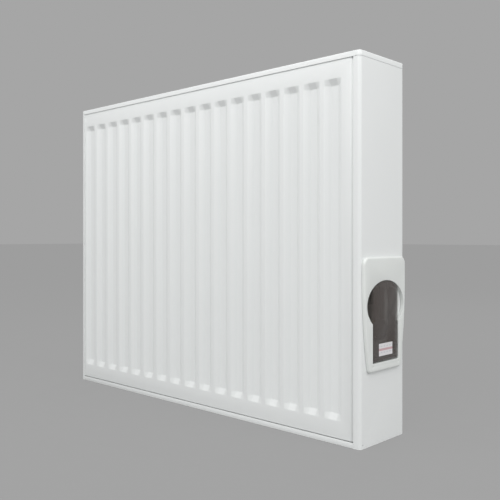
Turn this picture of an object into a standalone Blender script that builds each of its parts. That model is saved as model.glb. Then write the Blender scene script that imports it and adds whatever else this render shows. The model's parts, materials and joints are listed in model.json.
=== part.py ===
"""Cased panel radiator with a valve behind a service flap.

Metres, +Z up. X runs along the radiator, with the valve at the +X end, and Y from the room side
(-Y) to the wall side (+Y). The origin is the bottom centre of the whole object's box.
"""

import math

import bmesh
import bpy
from mathutils import Matrix, Vector

# --- Driving dimensions -------------------------------------------------------------------------

BODY_LENGTH = 0.600         # casing, left face to right face
BODY_HEIGHT = 0.500
BODY_DEPTH = 0.105          # casing, room face to wall face
LUG_STAND = 0.006           # hanging lugs behind the casing
BEZEL_STAND = 0.0045        # valve bezel proud of the side panel

GAP = 0.0003                # between pieces that touch
CASING_SHEET = 0.0010       # folded casing steel
PANEL_SHEET = 0.0012        # pressed panel steel
FIN_SHEET = 0.0006          # convector steel

# Casing
CORNER_RADIUS = 0.005       # room side upright corners
BACK_RADIUS = 0.002         # wall side upright corners
CAP_LIP = 0.007             # height of the top grille's lip
CAP_EDGE_ROUND = 0.0008
CAP_SEAM = 0.0005           # open seam under the lip
BASE_LIP = 0.007            # height of the bottom cover's lips
RIGHT_LIP = 0.010           # side panel lips, across the panels' faces
LEFT_LIP = 0.008
CORNER_STEPS = 4
ROUND_STEPS = 20            # round a turned piece
SPOUT_STEPS = 8             # round the vent's small spout
SMOOTH_ANGLE = 35           # degrees; sharper edges stay sharp
MERGE = 0.00005

# Pressed panels
CHANNEL_PITCH = 0.100 / 3
GROOVE_OPENING = 0.026
GROOVE_FLOOR = 0.0105
GROOVE_DEPTH = 0.006
INNER_GROOVE_DEPTH = 0.005
GROOVES_OFFSET = -0.0085    # the pressing sits nearer the left end
GROOVE_END_RUN = 0.008      # length of the slope at a groove's two ends
TOP_HEADER = 0.0303         # top edge down to the grooves
BOTTOM_HEADER = 0.0303
SEAM_FLANGE = 0.0030        # welded edge round a panel
SEAM_RUN = 0.0022           # slope from the welded edge up to the face

# Grille and air inlets
SLOT_WIDTH = 0.0240
SLOT_MARGIN = 0.0115        # from a slot's end to the casing's face
SLOT_RIB = 0.010            # between the two rows of slots or inlets
INLET_LENGTH = 0.080
INLET_MARGIN = 0.0135       # from an inlet to the casing's face
INLET_PITCH = 0.100

# Convectors
FIN_MIDDLE_GAP = 0.0124     # between the two panels' fins
FIN_CREST = 0.016
FIN_BOTTOM = 0.050
FIN_TOP_MARGIN = 0.055
FIN_LEFT_MARGIN = 0.055
VALVE_BAY = 0.095           # length at the right end kept free of fins

# Corner connectors
TOP_ROW_DROP = 0.02015      # upper connectors' axis from the casing's top
BOTTOM_ROW = 0.0188         # lower connectors' axis
CONNECTOR_RADIUS = 0.0100
CONNECTOR_BORE = 0.0065
SOCKET_RADIUS = 0.0125
SOCKET_BORE = 0.0095
THREAD_LENGTH = 0.0125      # of a plug in its socket
CONNECTOR_INSET = 0.044     # connector's axis from the casing's end
SOCKET_INSET = 0.020        # socket's mouth from the casing's end
SOCKET_FLOOR = 0.0049       # socket's floor from the connector's axis
ACCESS_RADIUS = 0.0140      # holes in the left side panel

# Bezel, recess and flap
BEZEL_BOTTOM = 0.094
BEZEL_TOP = 0.240
BEZEL_MARGIN = 0.0025       # from the bezel's sides to the casing's faces, on average
BEZEL_RUN_IN = 0.0115       # how far each side runs in at the foot
BEZEL_TAPER_TOP = 0.162     # height where the sides start to run in
BEZEL_CENTRE = 0.00125      # towards the wall from the casing's middle
BEZEL_CORNER = 0.010
BEZEL_FOOT_CORNER = 0.004
BEZEL_TAPER_CORNER = 0.040
BEZEL_ROUND = 0.0025
KEYHOLE_MARGIN = 0.0075     # from the oval to the bezel's sides
KEYHOLE_HEIGHT = 0.064
KEYHOLE_CENTRE = 0.178
CRESCENT_WIDTH = 0.0125     # finger grip at each side of the flap
KEYHOLE_BOTTOM = 0.105
KEYHOLE_STEPS = 28
HOUSING_WALL = 0.0016
HOUSING_FLANGE = 0.0030
RECESS_DEPTH = 0.0120       # recess floor behind the side panel's face
SCOOP_LEDGE = 0.0045        # from the oval to the finger scoops' edge
SCOOP_RUN = 0.0075          # how far the scoops narrow down to the recess floor
WINDOW_MARGIN = 0.006       # from the window to the slot's sides
WINDOW_BOTTOM = 0.130
WINDOW_TOP = 0.199
FLAP_GAP = 0.0008           # round the flap
FLAP_THICKNESS = 0.0040
FLAP_SET_BACK = 0.0001      # behind the bezel's face
FLAP_WALL = 0.0014
FLAP_FACE = 0.0016
FLAP_SIDE_DEPTH = 0.0100    # its side walls, behind its back
FLAP_SIDE_BOTTOM = 0.118
FLAP_SIDE_TOP = 0.1985
FLAP_SIDE_INSET = 0.0001    # of a side wall's faces from the flap's own
FLAP_PIN_RADIUS = 0.0010
RIB_SPACING = 0.024         # two upright ribs inside the flap
RIB_WIDTH = 0.0012
RIB_SET_BACK = 0.0008
RIB_BOTTOM = 0.162
RIB_TOP = 0.205
HINGE_ABOVE_SLOT = 0.0034
PIN_IN_BEZEL = 0.006
LABEL_WIDTH = 0.033
LABEL_HEIGHT = 0.016
LABEL_CENTRE = 0.121
LABEL_THICKNESS = 0.0004
LABEL_POCKET = 0.0009
LABEL_MARGIN = 0.0006

# Valve and pipes
VALVE_HEIGHT = 0.146        # axis of the insert and knob
VALVE_OFFSET = 0.004        # towards the wall from the bezel's middle
KNOB_RADIUS = 0.0125
KNOB_LENGTH = 0.0085
KNOB_BEHIND_FLAP = 0.0016
KNOB_FLUTES = 15
KNOB_FLUTE_POINTS = 4       # of the outline, in one flute
KNOB_FLUTE_DEPTH = 0.0008
KNOB_CHAMFER = 0.00125
KNOB_DISH_DEPTH = 0.0014
KNOB_DISH_RADIUS = 0.0075
KNOB_POINTER_WIDTH = 0.0014
KNOB_SOCKET_RADIUS = 0.0076
KNOB_SOCKET_DEPTH = 0.0050
STEM_RADIUS = 0.0070
STEM_LENGTH = 0.0070
INSERT_FLANGE_RADIUS = 0.0110
INSERT_FLANGE_LENGTH = 0.0040
INSERT_RADIUS = 0.0085
INSERT_LENGTH = 0.0180
INSERT_NECK = 0.0023
INSERT_BORE = 0.0050
INSERT_END_WALL = 0.0020
SEAL_WIRE = 0.0008
SEAL_POINTS = 6             # round the O-ring's section
SPINDLE_RADIUS = 0.0020
SPINDLE_COLLAR_RADIUS = 0.0044
SPINDLE_COLLAR_LENGTH = 0.0016
SPINDLE_TRAVEL = 0.0025
SPRING_RADIUS = 0.0034
SPRING_WIRE = 0.0005
SPRING_TURNS = 4
SPRING_POINTS = 9           # a turn
DISC_RADIUS = 0.0056
DISC_LENGTH = 0.0026
DISC_LIFT = 0.0032
BODY_BEHIND_INSERT = 0.0150
VALVE_BODY_RADIUS = 0.0145
VALVE_BODY_HALF = 0.0200
VALVE_BOSS_RADIUS = 0.0125
PIPE_RADIUS = 0.0090
PIPE_WALL = 0.0012
PIPE_CLEARANCE = 0.0004
PIPE_ENGAGEMENT = 0.005
BRANCH_WALL = 0.0030
BRANCH_LENGTH = 0.010
NUT_SIDES = 6
NUT_RADIUS = 0.0150
NUT_LENGTH = 0.0110
CONNECTION_PITCH = 0.050
CONNECTION_RADIUS = 0.0130
CONNECTION_BORE = 0.0100
CONNECTION_DEPTH = 0.0110
CONNECTION_LENGTH = 0.0240
RETURN_PASSAGE = 0.0052     # radius of the way from the return mouth to its connector
PLATE_HEIGHT = 0.006        # spacing plate round the two connections
PLATE_SHEET = 0.0015
PLATE_MARGIN = 0.005
BRACKET_SHEET = 0.0012      # brackets that hold the side panels
BRACKET_HEIGHT = 0.020
BRACKET_LEG = 0.014
BRACKET_INSET = 0.070       # their middle from the casing's top and bottom

# Vent, plugs, lugs and clips
PLUG_HEAD_RADIUS = 0.0118
PLUG_HEAD_LENGTH = 0.0050
GASKET_LENGTH = 0.0014
VENT_STEM_RADIUS = 0.0062
VENT_STEM_LENGTH = 0.0070
COLLAR_RADIUS = 0.0092
COLLAR_LENGTH = 0.0056
SPOUT_RADIUS = 0.0012
BLEED_RADIUS = 0.0034
BLEED_SQUARE = 0.0046
BLEED_SQUARE_LENGTH = 0.0045
PLUG_KEY = 0.010
LUG_HEIGHT = 0.060
LUG_SHEET = 0.0025
LUG_FOOT = 0.0065
LUG_GROOVE = 3              # each lug bridges this groove, counted from the nearest end
LUG_MARGIN = 0.075          # lug's middle from the casing's top and bottom
LUG_SLOT_WIDTH = 0.012
LUG_SLOT_HEIGHT = 0.030
CLIP_SHEET = 0.0008
CLIP_WIDTH = 0.018
CLIP_INSET = 0.150          # clip's middle from the casing's ends

# --- Places worked out from the dimensions ------------------------------------------------------

X_MIDDLE = -BEZEL_STAND / 2
Y_MIDDLE = -LUG_STAND / 2
X_LEFT = X_MIDDLE - BODY_LENGTH / 2
X_RIGHT = X_MIDDLE + BODY_LENGTH / 2
Y_FRONT = Y_MIDDLE - BODY_DEPTH / 2
Y_BACK = Y_MIDDLE + BODY_DEPTH / 2

INSET = CASING_SHEET + GAP                      # from the casing's outside to what it covers
PANEL_LEFT = X_LEFT + INSET
PANEL_RIGHT = X_RIGHT - INSET
SEAT = INSET + CLIP_SHEET + GAP                 # from the casing's top or bottom to a panel's edge
PANEL_BOTTOM = SEAT
PANEL_TOP = BODY_HEIGHT - SEAT
GROOVE_COUNT = round(BODY_LENGTH / CHANNEL_PITCH) - 1
SIDE_TOP = BODY_HEIGHT - CAP_LIP - CAP_SEAM
PANEL_THICKNESS = 2 * PANEL_SHEET + GROOVE_DEPTH + GAP + INNER_GROOVE_DEPTH
PANEL_BACK = BODY_DEPTH / 2 - INSET - PANEL_THICKNESS   # panels' inner faces from the middle
FIN_DEPTH = PANEL_BACK - GAP - FIN_MIDDLE_GAP / 2
SLOT_LENGTH = (BODY_DEPTH - SLOT_RIB) / 2 - SLOT_MARGIN
INLET_WIDTH = (BODY_DEPTH - SLOT_RIB) / 2 - INLET_MARGIN

TOP_ROW = BODY_HEIGHT - TOP_ROW_DROP

BEZEL_Y = Y_MIDDLE + BEZEL_CENTRE
BEZEL_FACE = X_RIGHT + BEZEL_STAND
BEZEL_WIDTH = BODY_DEPTH - 2 * BEZEL_MARGIN
KEYHOLE_WIDTH = BEZEL_WIDTH - 2 * KEYHOLE_MARGIN
KEYHOLE_SLOT = KEYHOLE_WIDTH - 2 * CRESCENT_WIDTH
WINDOW_WIDTH = KEYHOLE_SLOT - 2 * WINDOW_MARGIN
HINGE_X = BEZEL_FACE - FLAP_THICKNESS / 2 - FLAP_SET_BACK
HINGE_Z = KEYHOLE_BOTTOM + HINGE_ABOVE_SLOT
FLAP_BACK = HINGE_X - FLAP_THICKNESS / 2
FLAP_FRONT = HINGE_X + FLAP_THICKNESS / 2

VALVE_Y = BEZEL_Y + VALVE_OFFSET
KNOB_FRONT = FLAP_BACK - KNOB_BEHIND_FLAP
KNOB_BACK = KNOB_FRONT - KNOB_LENGTH
STEM_END = KNOB_BACK + KNOB_SOCKET_DEPTH - GAP
INSERT_SHOULDER = STEM_END - STEM_LENGTH
BODY_FACE = INSERT_SHOULDER - INSERT_FLANGE_LENGTH - 2 * SEAL_WIRE - 2 * GAP
INSERT_END = INSERT_SHOULDER - INSERT_FLANGE_LENGTH - INSERT_LENGTH
VALVE_X = BODY_FACE - BODY_BEHIND_INSERT
FEED_X = VALVE_X
RETURN_X = FEED_X - CONNECTION_PITCH


# --- Helpers ------------------------------------------------------------------------------------

def clear_scene():
    for old in list(bpy.data.objects):
        bpy.data.objects.remove(old, do_unlink=True)
    for collection in list(bpy.data.collections):
        bpy.data.collections.remove(collection)


def new_collection(name):
    collection = bpy.data.collections.new(name)
    bpy.context.scene.collection.children.link(collection)
    return collection


def material(name, colour, roughness, metallic=0.0, alpha=1.0):
    finish = bpy.data.materials.new(name)
    finish.use_nodes = True
    shader = finish.node_tree.nodes["Principled BSDF"]
    shader.inputs["Base Color"].default_value = (*colour, 1.0)
    shader.inputs["Roughness"].default_value = roughness
    shader.inputs["Metallic"].default_value = metallic
    shader.inputs["Alpha"].default_value = alpha
    return finish


def add_object(name, mesh, finish=None, collection=None):
    thing = bpy.data.objects.new(name, mesh)
    (collection or parts).objects.link(thing)
    if finish is not None:
        mesh.materials.append(finish)
    return thing


def mesh_from(bm, name, smooth=False):
    mesh = bpy.data.meshes.new(name)
    bm.to_mesh(mesh)
    bm.free()
    if smooth:
        mesh.shade_smooth()
        mesh.set_sharp_from_angle(angle=math.radians(SMOOTH_ANGLE))
    return mesh


def cutter(name, bm):
    thing = add_object(name, mesh_from(bm, name), collection=cutters)
    thing.hide_render = True
    thing.display_type = "WIRE"
    return thing


def combine(thing, other, operation="DIFFERENCE"):
    step = thing.modifiers.new(f"{operation.lower()} {other.name}", "BOOLEAN")
    step.operation = operation
    step.object = other
    step.solver = "EXACT"


def box(low, high):
    """A block between two corners."""
    bm = bmesh.new()
    bmesh.ops.create_cube(bm, size=1.0)
    size = Vector(high) - Vector(low)
    bmesh.ops.scale(bm, vec=size, verts=bm.verts)
    bmesh.ops.translate(bm, vec=(Vector(high) + Vector(low)) / 2, verts=bm.verts)
    return bm


def turn_to(axis):
    """The turn that takes +Z to an axis."""
    return Vector((0, 0, 1)).rotation_difference(Vector(axis)).to_matrix().to_4x4()


def rod(start, axis, length, radius, steps=ROUND_STEPS):
    """A cylinder that grows from its start along an axis."""
    bm = bmesh.new()
    bmesh.ops.create_cone(bm, cap_ends=True, segments=steps, radius1=radius, radius2=radius,
                          depth=length)
    bmesh.ops.translate(bm, vec=(0, 0, length / 2), verts=bm.verts)
    bmesh.ops.transform(bm, matrix=Matrix.Translation(start) @ turn_to(axis), verts=bm.verts)
    return bm


def turned(name, profile, start, axis, finish):
    """A closed profile of (radius, distance along the axis) points, turned about that axis.

    A profile that leaves out the axis gives a ring; the points run down the outer side first.
    """
    bm = bmesh.new()
    corners = [bm.verts.new((radius, 0.0, along)) for radius, along in profile]
    closed = min(radius for radius, _ in profile) > 0.0
    pairs = list(zip(corners, corners[1:]))
    if closed:
        pairs.append((corners[-1], corners[0]))
    for pair in pairs:
        bm.edges.new(pair)
    thing = add_object(name, mesh_from(bm, name), finish)
    screw = thing.modifiers.new("turn", "SCREW")
    screw.axis = "Z"
    screw.angle = math.tau
    screw.steps = ROUND_STEPS
    screw.render_steps = ROUND_STEPS
    screw.use_merge_vertices = True
    screw.merge_threshold = MERGE
    screw.use_smooth_shade = True
    thing.matrix_world = Matrix.Translation(start) @ turn_to(axis)
    return thing


def folded_sheet(name, path, low, high, thickness, finish, along="Z"):
    """An open path swept straight along an axis, and given its thickness towards the path's left."""
    places = {"Z": lambda p, s: (p[0], p[1], s), "X": lambda p, s: (s, p[0], p[1])}[along]
    bm = bmesh.new()
    first = [bm.verts.new(places(point, low)) for point in path]
    last = [bm.verts.new(places(point, high)) for point in path]
    for index in range(len(path) - 1):
        bm.faces.new((first[index], first[index + 1], last[index + 1], last[index]))
    thing = add_object(name, mesh_from(bm, name), finish)
    solid = thing.modifiers.new("sheet", "SOLIDIFY")
    solid.thickness = thickness
    solid.offset = -1.0
    solid.use_even_offset = True
    return thing


def plate(name, outline, start, depth, finish=None):
    """A flat outline of (y, z) points, standing across X from start to start + depth.

    Without a finish it becomes a cutter.
    """
    bm = bmesh.new()
    corners = [bm.verts.new((start, y, z)) for y, z in outline]
    face = bm.faces.new(corners)
    grown = bmesh.ops.extrude_face_region(bm, geom=[face])
    moved = [item for item in grown["geom"] if isinstance(item, bmesh.types.BMVert)]
    bmesh.ops.translate(bm, vec=(depth, 0, 0), verts=moved)
    bmesh.ops.recalc_face_normals(bm, faces=bm.faces)
    if finish is None:
        return cutter(name, bm)
    return add_object(name, mesh_from(bm, name), finish)


def sleeve(name, start, axis, length, outer, bore, finish):
    """A straight tube."""
    ring = [(outer, length), (outer, 0), (bore, 0), (bore, length)]
    return turned(name, ring, start, axis, finish)


def joined(blocks):
    """Several loose blocks in one mesh, for a cutter that repeats."""
    whole = bmesh.new()
    for block in blocks:
        piece = bpy.data.meshes.new("block")
        block.to_mesh(piece)
        block.free()
        whole.from_mesh(piece)
        bpy.data.meshes.remove(piece)
    return whole


def rounded(corners):
    """A path of (u, v, radius) corners, each rounded by its own radius."""
    points = []
    for index, (u, v, radius) in enumerate(corners):
        here = Vector((u, v))
        if radius == 0.0:
            points.append(here.to_tuple())
            continue
        back = (Vector(corners[index - 1][:2]) - here).normalized()
        ahead = (Vector(corners[(index + 1) % len(corners)][:2]) - here).normalized()
        half = back.angle(ahead) / 2
        centre = here + (back + ahead).normalized() * radius / math.sin(half)
        first = here + back * radius / math.tan(half) - centre
        sweep = first.angle_signed(here + ahead * radius / math.tan(half) - centre)
        for step in range(CORNER_STEPS + 1):
            spoke = first.copy()
            spoke.rotate(Matrix.Rotation(-sweep * step / CORNER_STEPS, 2))
            points.append((centre + spoke).to_tuple())
    return points


# --- Outlines -----------------------------------------------------------------------------------

def oval(start, steps, grow):
    """Points of the oval from an angle on the wall side, over the top, to its mirror image."""
    half_width = KEYHOLE_WIDTH / 2 + grow
    half_height = KEYHOLE_HEIGHT / 2 + grow
    points = []
    for step in range(steps + 1):
        angle = start + (math.pi - 2 * start) * step / steps
        across = BEZEL_Y + half_width * math.cos(angle)
        points.append((across, KEYHOLE_CENTRE + half_height * math.sin(angle)))
    return points


def slot_meets_oval(grow=0.0):
    """The oval's angle at which the slot's side crosses it."""
    return math.acos((KEYHOLE_SLOT / 2 + grow) / (KEYHOLE_WIDTH / 2 + grow))


def keyhole():
    """The bezel's opening: the oval with the slot below it."""
    half = KEYHOLE_SLOT / 2
    top = oval(-slot_meets_oval(), KEYHOLE_STEPS, 0.0)
    return [(BEZEL_Y + half, KEYHOLE_BOTTOM)] + top + [(BEZEL_Y - half, KEYHOLE_BOTTOM)]


def door_outline(grow=0.0, bottom=KEYHOLE_BOTTOM):
    """The slot's width carried up to the oval's top: what the flap and the recess's middle share."""
    half = KEYHOLE_SLOT / 2 + grow
    top = oval(slot_meets_oval(grow), KEYHOLE_STEPS // 2, grow)
    return [(BEZEL_Y - half, bottom), (BEZEL_Y + half, bottom)] + top


def scoop(grow, floor, front):
    """An oval funnel that narrows inwards from the side panel, between two places along X."""
    slope = SCOOP_RUN / RECESS_DEPTH
    edge = KEYHOLE_WIDTH / 2 - SCOOP_LEDGE + grow
    bm = bmesh.new()
    bmesh.ops.create_cone(bm, cap_ends=True, segments=2 * ROUND_STEPS, depth=front - floor,
                          radius1=edge - slope * (X_RIGHT - floor), radius2=edge + slope * (front - X_RIGHT))
    place = Matrix.Translation(((floor + front) / 2, BEZEL_Y, KEYHOLE_CENTRE))
    flatten = Matrix.Diagonal((1, 1, KEYHOLE_HEIGHT / KEYHOLE_WIDTH, 1))
    bmesh.ops.transform(bm, matrix=place @ flatten @ turn_to((1, 0, 0)), verts=bm.verts)
    return bm


def bezel_outline():
    """Upright sides with round top corners, running in to a narrower foot."""
    half = BEZEL_WIDTH / 2
    foot = half - BEZEL_RUN_IN
    right = [(foot, BEZEL_BOTTOM, BEZEL_FOOT_CORNER), (half, BEZEL_TAPER_TOP, BEZEL_TAPER_CORNER)]
    right.append((half, BEZEL_TOP, BEZEL_CORNER))
    left = [(-y, z, radius) for y, z, radius in reversed(right)]
    return [(BEZEL_Y + y, z) for y, z in rounded(right + left)]


def casing_path(right_side):
    """A side panel's plan: lip, round corner, side face, round corner, lip."""
    end, lip = (X_RIGHT, X_RIGHT - RIGHT_LIP) if right_side else (X_LEFT, X_LEFT + LEFT_LIP)
    corners = [(lip, Y_FRONT, 0.0), (end, Y_FRONT, CORNER_RADIUS)]
    corners += [(end, Y_BACK, BACK_RADIUS), (lip, Y_BACK, 0.0)]
    return rounded(corners if right_side else corners[::-1])


# --- Pressed panels -----------------------------------------------------------------------------

def groove_centres():
    first = X_MIDDLE + GROOVES_OFFSET - CHANNEL_PITCH * (GROOVE_COUNT - 1) / 2
    return [first + CHANNEL_PITCH * index for index in range(GROOVE_COUNT)]


def ridge_centres():
    return [x + CHANNEL_PITCH / 2 for x in groove_centres()[:-1]]


def panel_columns():
    """(x, groove share, seam share) across a panel: 0 on the face, 1 at full depth."""
    seam_end = SEAM_FLANGE + SEAM_RUN
    columns = [(PANEL_LEFT, 0, 1), (PANEL_LEFT + SEAM_FLANGE, 0, 1), (PANEL_LEFT + seam_end, 0, 0)]
    for x in groove_centres():
        columns += [(x - GROOVE_OPENING / 2, 0, 0), (x - GROOVE_FLOOR / 2, 1, 0)]
        columns += [(x + GROOVE_FLOOR / 2, 1, 0), (x + GROOVE_OPENING / 2, 0, 0)]
    columns += [(PANEL_RIGHT - seam_end, 0, 0), (PANEL_RIGHT - SEAM_FLANGE, 0, 1), (PANEL_RIGHT, 0, 1)]
    return columns


def panel_rows():
    """(z, groove share, seam share) up a panel."""
    low = BOTTOM_HEADER
    high = BODY_HEIGHT - TOP_HEADER
    seam_end = SEAM_FLANGE + SEAM_RUN
    rows = [(PANEL_BOTTOM, 0, 1), (PANEL_BOTTOM + SEAM_FLANGE, 0, 1), (PANEL_BOTTOM + seam_end, 0, 0)]
    rows += [(low, 0, 0), (low + GROOVE_END_RUN, 1, 0), (high - GROOVE_END_RUN, 1, 0), (high, 0, 0)]
    rows += [(PANEL_TOP - seam_end, 0, 0), (PANEL_TOP - SEAM_FLANGE, 0, 1), (PANEL_TOP, 0, 1)]
    return rows


def pressed_sheet(name, side, outer, finish):
    """One pressed sheet. side is -1 for the room panel and 1 for the wall panel."""
    depth = GROOVE_DEPTH if outer else INNER_GROOVE_DEPTH
    face = BODY_DEPTH / 2 - INSET if outer else PANEL_BACK
    sink = -1 if outer else 1                   # towards the panel's weld plane, seen from the middle
    bm = bmesh.new()
    grid = []
    for z, groove_z, seam_z in panel_rows():
        row = []
        for x, groove_x, seam_x in panel_columns():
            pressed = depth * max(min(groove_x, groove_z), seam_x, seam_z)
            row.append(bm.verts.new((x, Y_MIDDLE + side * (face + sink * pressed), z)))
        grid.append(row)
    for lower, upper in zip(grid, grid[1:]):
        for index in range(len(lower) - 1):
            bm.faces.new((lower[index], lower[index + 1], upper[index + 1], upper[index]))
    if (side == 1) == outer:
        bmesh.ops.reverse_faces(bm, faces=bm.faces)
    thing = add_object(name, mesh_from(bm, name), finish)
    solid = thing.modifiers.new("sheet", "SOLIDIFY")
    solid.thickness = PANEL_SHEET
    solid.offset = -1.0
    solid.use_even_offset = True
    return thing


def make_panels():
    for side, place in ((-1, "front"), (1, "rear")):
        pressed_sheet(f"{place}_panel_outer_sheet", side, True, white_steel)
        pressed_sheet(f"{place}_panel_inner_sheet", side, False, white_steel)


def make_convectors():
    left = X_LEFT + FIN_LEFT_MARGIN
    right = X_RIGHT - VALVE_BAY
    centres = [x for x in ridge_centres() if x - FIN_CREST / 2 > left and x + FIN_CREST / 2 < right]
    for side, place in ((-1, "front"), (1, "rear")):
        near = Y_MIDDLE + side * (PANEL_BACK - GAP)
        far = near - side * FIN_DEPTH
        path = []
        for x in centres:
            path += [(x - FIN_CREST / 2, far), (x - FIN_CREST / 2, near)]
            path += [(x + FIN_CREST / 2, near), (x + FIN_CREST / 2, far)]
        if side == 1:
            path.reverse()
        top = BODY_HEIGHT - FIN_TOP_MARGIN
        folded_sheet(f"{place}_convector", path, FIN_BOTTOM, top, FIN_SHEET, white_steel)


# --- Casing -------------------------------------------------------------------------------------

def round_upright_edges(bm, side, radius):
    """Rounds a block's upright edges on the room side (-1) or the wall side (1)."""
    edges = []
    for edge in bm.edges:
        run = edge.verts[1].co - edge.verts[0].co
        middle = (edge.verts[0].co + edge.verts[1].co) / 2
        if abs(run.z) > 0.9 * run.length and (middle.y - Y_MIDDLE) * side > BODY_DEPTH / 3:
            edges.append(edge)
    bmesh.ops.bevel(bm, geom=edges, offset=radius, offset_type="OFFSET", segments=CORNER_STEPS,
                    profile=0.5, affect="EDGES")


def slot_cutter(name, height, left, right, pitch, width, length):
    """Two rows of blocks that cut slots through a flat sheet at a height."""
    count = math.floor((right - left - pitch / 2) / pitch)
    first = (left + right) / 2 - pitch * (count - 1) / 2
    reach = 3 * CASING_SHEET
    blocks = []
    for index in range(count):
        x = first + pitch * index
        for side in (-1, 1):
            y = Y_MIDDLE + side * (length + SLOT_RIB) / 2
            blocks.append(box((x - width / 2, y - length / 2, height - reach),
                              (x + width / 2, y + length / 2, height + reach)))
    return cutter(name, joined(blocks))


def make_top_grille():
    bm = box((X_LEFT, Y_FRONT, BODY_HEIGHT - CAP_LIP), (X_RIGHT, Y_BACK, BODY_HEIGHT))
    round_upright_edges(bm, -1, CORNER_RADIUS)
    round_upright_edges(bm, 1, BACK_RADIUS)
    floor = [face for face in bm.faces if face.normal.z < -0.5]
    bmesh.ops.delete(bm, geom=floor, context="FACES")
    rim = [edge for edge in bm.edges if all(v.co.z > BODY_HEIGHT - CAP_LIP / 2 for v in edge.verts)]
    bmesh.ops.bevel(bm, geom=rim, offset=CAP_EDGE_ROUND, offset_type="OFFSET", segments=1,
                    profile=0.5, affect="EDGES")
    grille = add_object("top_grille", mesh_from(bm, "top_grille"), white_steel)
    solid = grille.modifiers.new("sheet", "SOLIDIFY")
    solid.thickness = CASING_SHEET
    solid.offset = -1.0
    solid.use_even_offset = True
    combine(grille, slot_cutter("grille slots", BODY_HEIGHT, X_LEFT, X_RIGHT, CHANNEL_PITCH,
                                SLOT_WIDTH, SLOT_LENGTH))


def make_bottom_cover():
    left = X_LEFT + LEFT_LIP + GAP
    right = X_RIGHT - RIGHT_LIP - GAP
    path = [(Y_FRONT, BASE_LIP), (Y_FRONT, 0.0), (Y_BACK, 0.0), (Y_BACK, BASE_LIP)]
    cover = folded_sheet("bottom_cover", path, left, right, CASING_SHEET, white_steel, along="X")
    combine(cover, slot_cutter("air inlets", 0.0, left, RETURN_X - CONNECTION_RADIUS, INLET_PITCH,
                               INLET_LENGTH, INLET_WIDTH))
    for label, x in (("feed", FEED_X), ("return", RETURN_X)):
        hole = rod((x, VALVE_Y, -CASING_SHEET), (0, 0, 1), 4 * CASING_SHEET, CONNECTION_RADIUS + 2 * GAP)
        combine(cover, cutter(f"{label} hole", hole))


def make_side_panels():
    right = folded_sheet("side_panel_right", casing_path(True), 0.0, SIDE_TOP, CASING_SHEET, white_steel)
    reach = 2 * CORNER_RADIUS
    grow = HOUSING_WALL + GAP
    cut_out = door_outline(grow, KEYHOLE_BOTTOM - grow)
    combine(right, plate("housing cut-out", cut_out, X_RIGHT - reach, 2 * reach))
    combine(right, cutter("scoop cut-out", scoop(grow, X_RIGHT - reach, X_RIGHT + reach)))
    left = folded_sheet("side_panel_left", casing_path(False), 0.0, SIDE_TOP, CASING_SHEET, white_steel)
    for label, z in (("vent", TOP_ROW), ("plug", BOTTOM_ROW)):
        hole = rod((X_LEFT - reach, Y_MIDDLE, z), (1, 0, 0), 2 * reach, ACCESS_RADIUS)
        combine(left, cutter(f"{label} access", hole))


def make_side_brackets():
    """Channels across the casing's ends, between the panels, that the side panels hook on."""
    reach = PANEL_BACK - GAP
    for end, way, x in (("left", 1, X_LEFT + INSET), ("right", -1, X_RIGHT - INSET)):
        path = [(x + way * BRACKET_LEG, Y_MIDDLE - reach), (x, Y_MIDDLE - reach)]
        path += [(x, Y_MIDDLE + reach), (x + way * BRACKET_LEG, Y_MIDDLE + reach)]
        if way == 1:
            path.reverse()
        for level, z in (("bottom", BRACKET_INSET), ("top", BODY_HEIGHT - BRACKET_INSET)):
            folded_sheet(f"side_bracket_{level}_{end}", path, z - BRACKET_HEIGHT / 2, z + BRACKET_HEIGHT / 2,
                         BRACKET_SHEET, galvanised)


def make_clips():
    """Spring clips astride the panels' welded edges, between them and the top and bottom covers."""
    weld = BODY_DEPTH / 2 - INSET - GROOVE_DEPTH
    near = weld - 2 * PANEL_SHEET - 2 * GAP
    drop = SEAM_FLANGE - GAP
    for side, place in ((-1, "front"), (1, "rear")):
        low, high = sorted((Y_MIDDLE + side * (weld + GAP), Y_MIDDLE + side * near))
        for end, x in (("left", X_LEFT + CLIP_INSET), ("right", X_RIGHT - CLIP_INSET)):
            top = PANEL_TOP + GAP
            over = [(low, top - drop), (low, top), (high, top), (high, top - drop)]
            bottom = PANEL_BOTTOM - GAP
            under = [(high, bottom + drop), (high, bottom), (low, bottom), (low, bottom + drop)]
            for level, path in (("top", over), ("bottom", under)):
                folded_sheet(f"clip_{level}_{place}_{end}", path, x - CLIP_WIDTH / 2, x + CLIP_WIDTH / 2,
                             CLIP_SHEET, bright_steel, along="X")


def make_lugs():
    """Hat-shaped hanging lugs, each across one groove of the rear panel."""
    centres = groove_centres()
    foot_back = BODY_DEPTH / 2 - INSET + GAP + LUG_SHEET
    face_back = BODY_DEPTH / 2 + LUG_STAND
    for end, x in (("left", centres[LUG_GROOVE - 1]), ("right", centres[-LUG_GROOVE])):
        half = CHANNEL_PITCH / 2
        side = half - LUG_FOOT / 2
        section = [(side + LUG_FOOT, foot_back), (side, foot_back), (side, face_back)]
        section += [(-u, v) for u, v in reversed(section)]
        path = [(x + u, Y_MIDDLE + v) for u, v in section]
        for level, z in (("bottom", LUG_MARGIN), ("top", BODY_HEIGHT - LUG_MARGIN)):
            lug = folded_sheet(f"hanging_lug_{level}_{end}", path, z - LUG_HEIGHT / 2, z + LUG_HEIGHT / 2,
                               LUG_SHEET, white_steel)
            slot = box((x - LUG_SLOT_WIDTH / 2, Y_BACK, z - LUG_SLOT_HEIGHT / 2),
                       (x + LUG_SLOT_WIDTH / 2, Y_BACK + 2 * LUG_STAND, z + LUG_SLOT_HEIGHT / 2))
            combine(lug, cutter(f"lug slot {level} {end}", slot))


# --- Corner connectors and plugs ----------------------------------------------------------------

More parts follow.
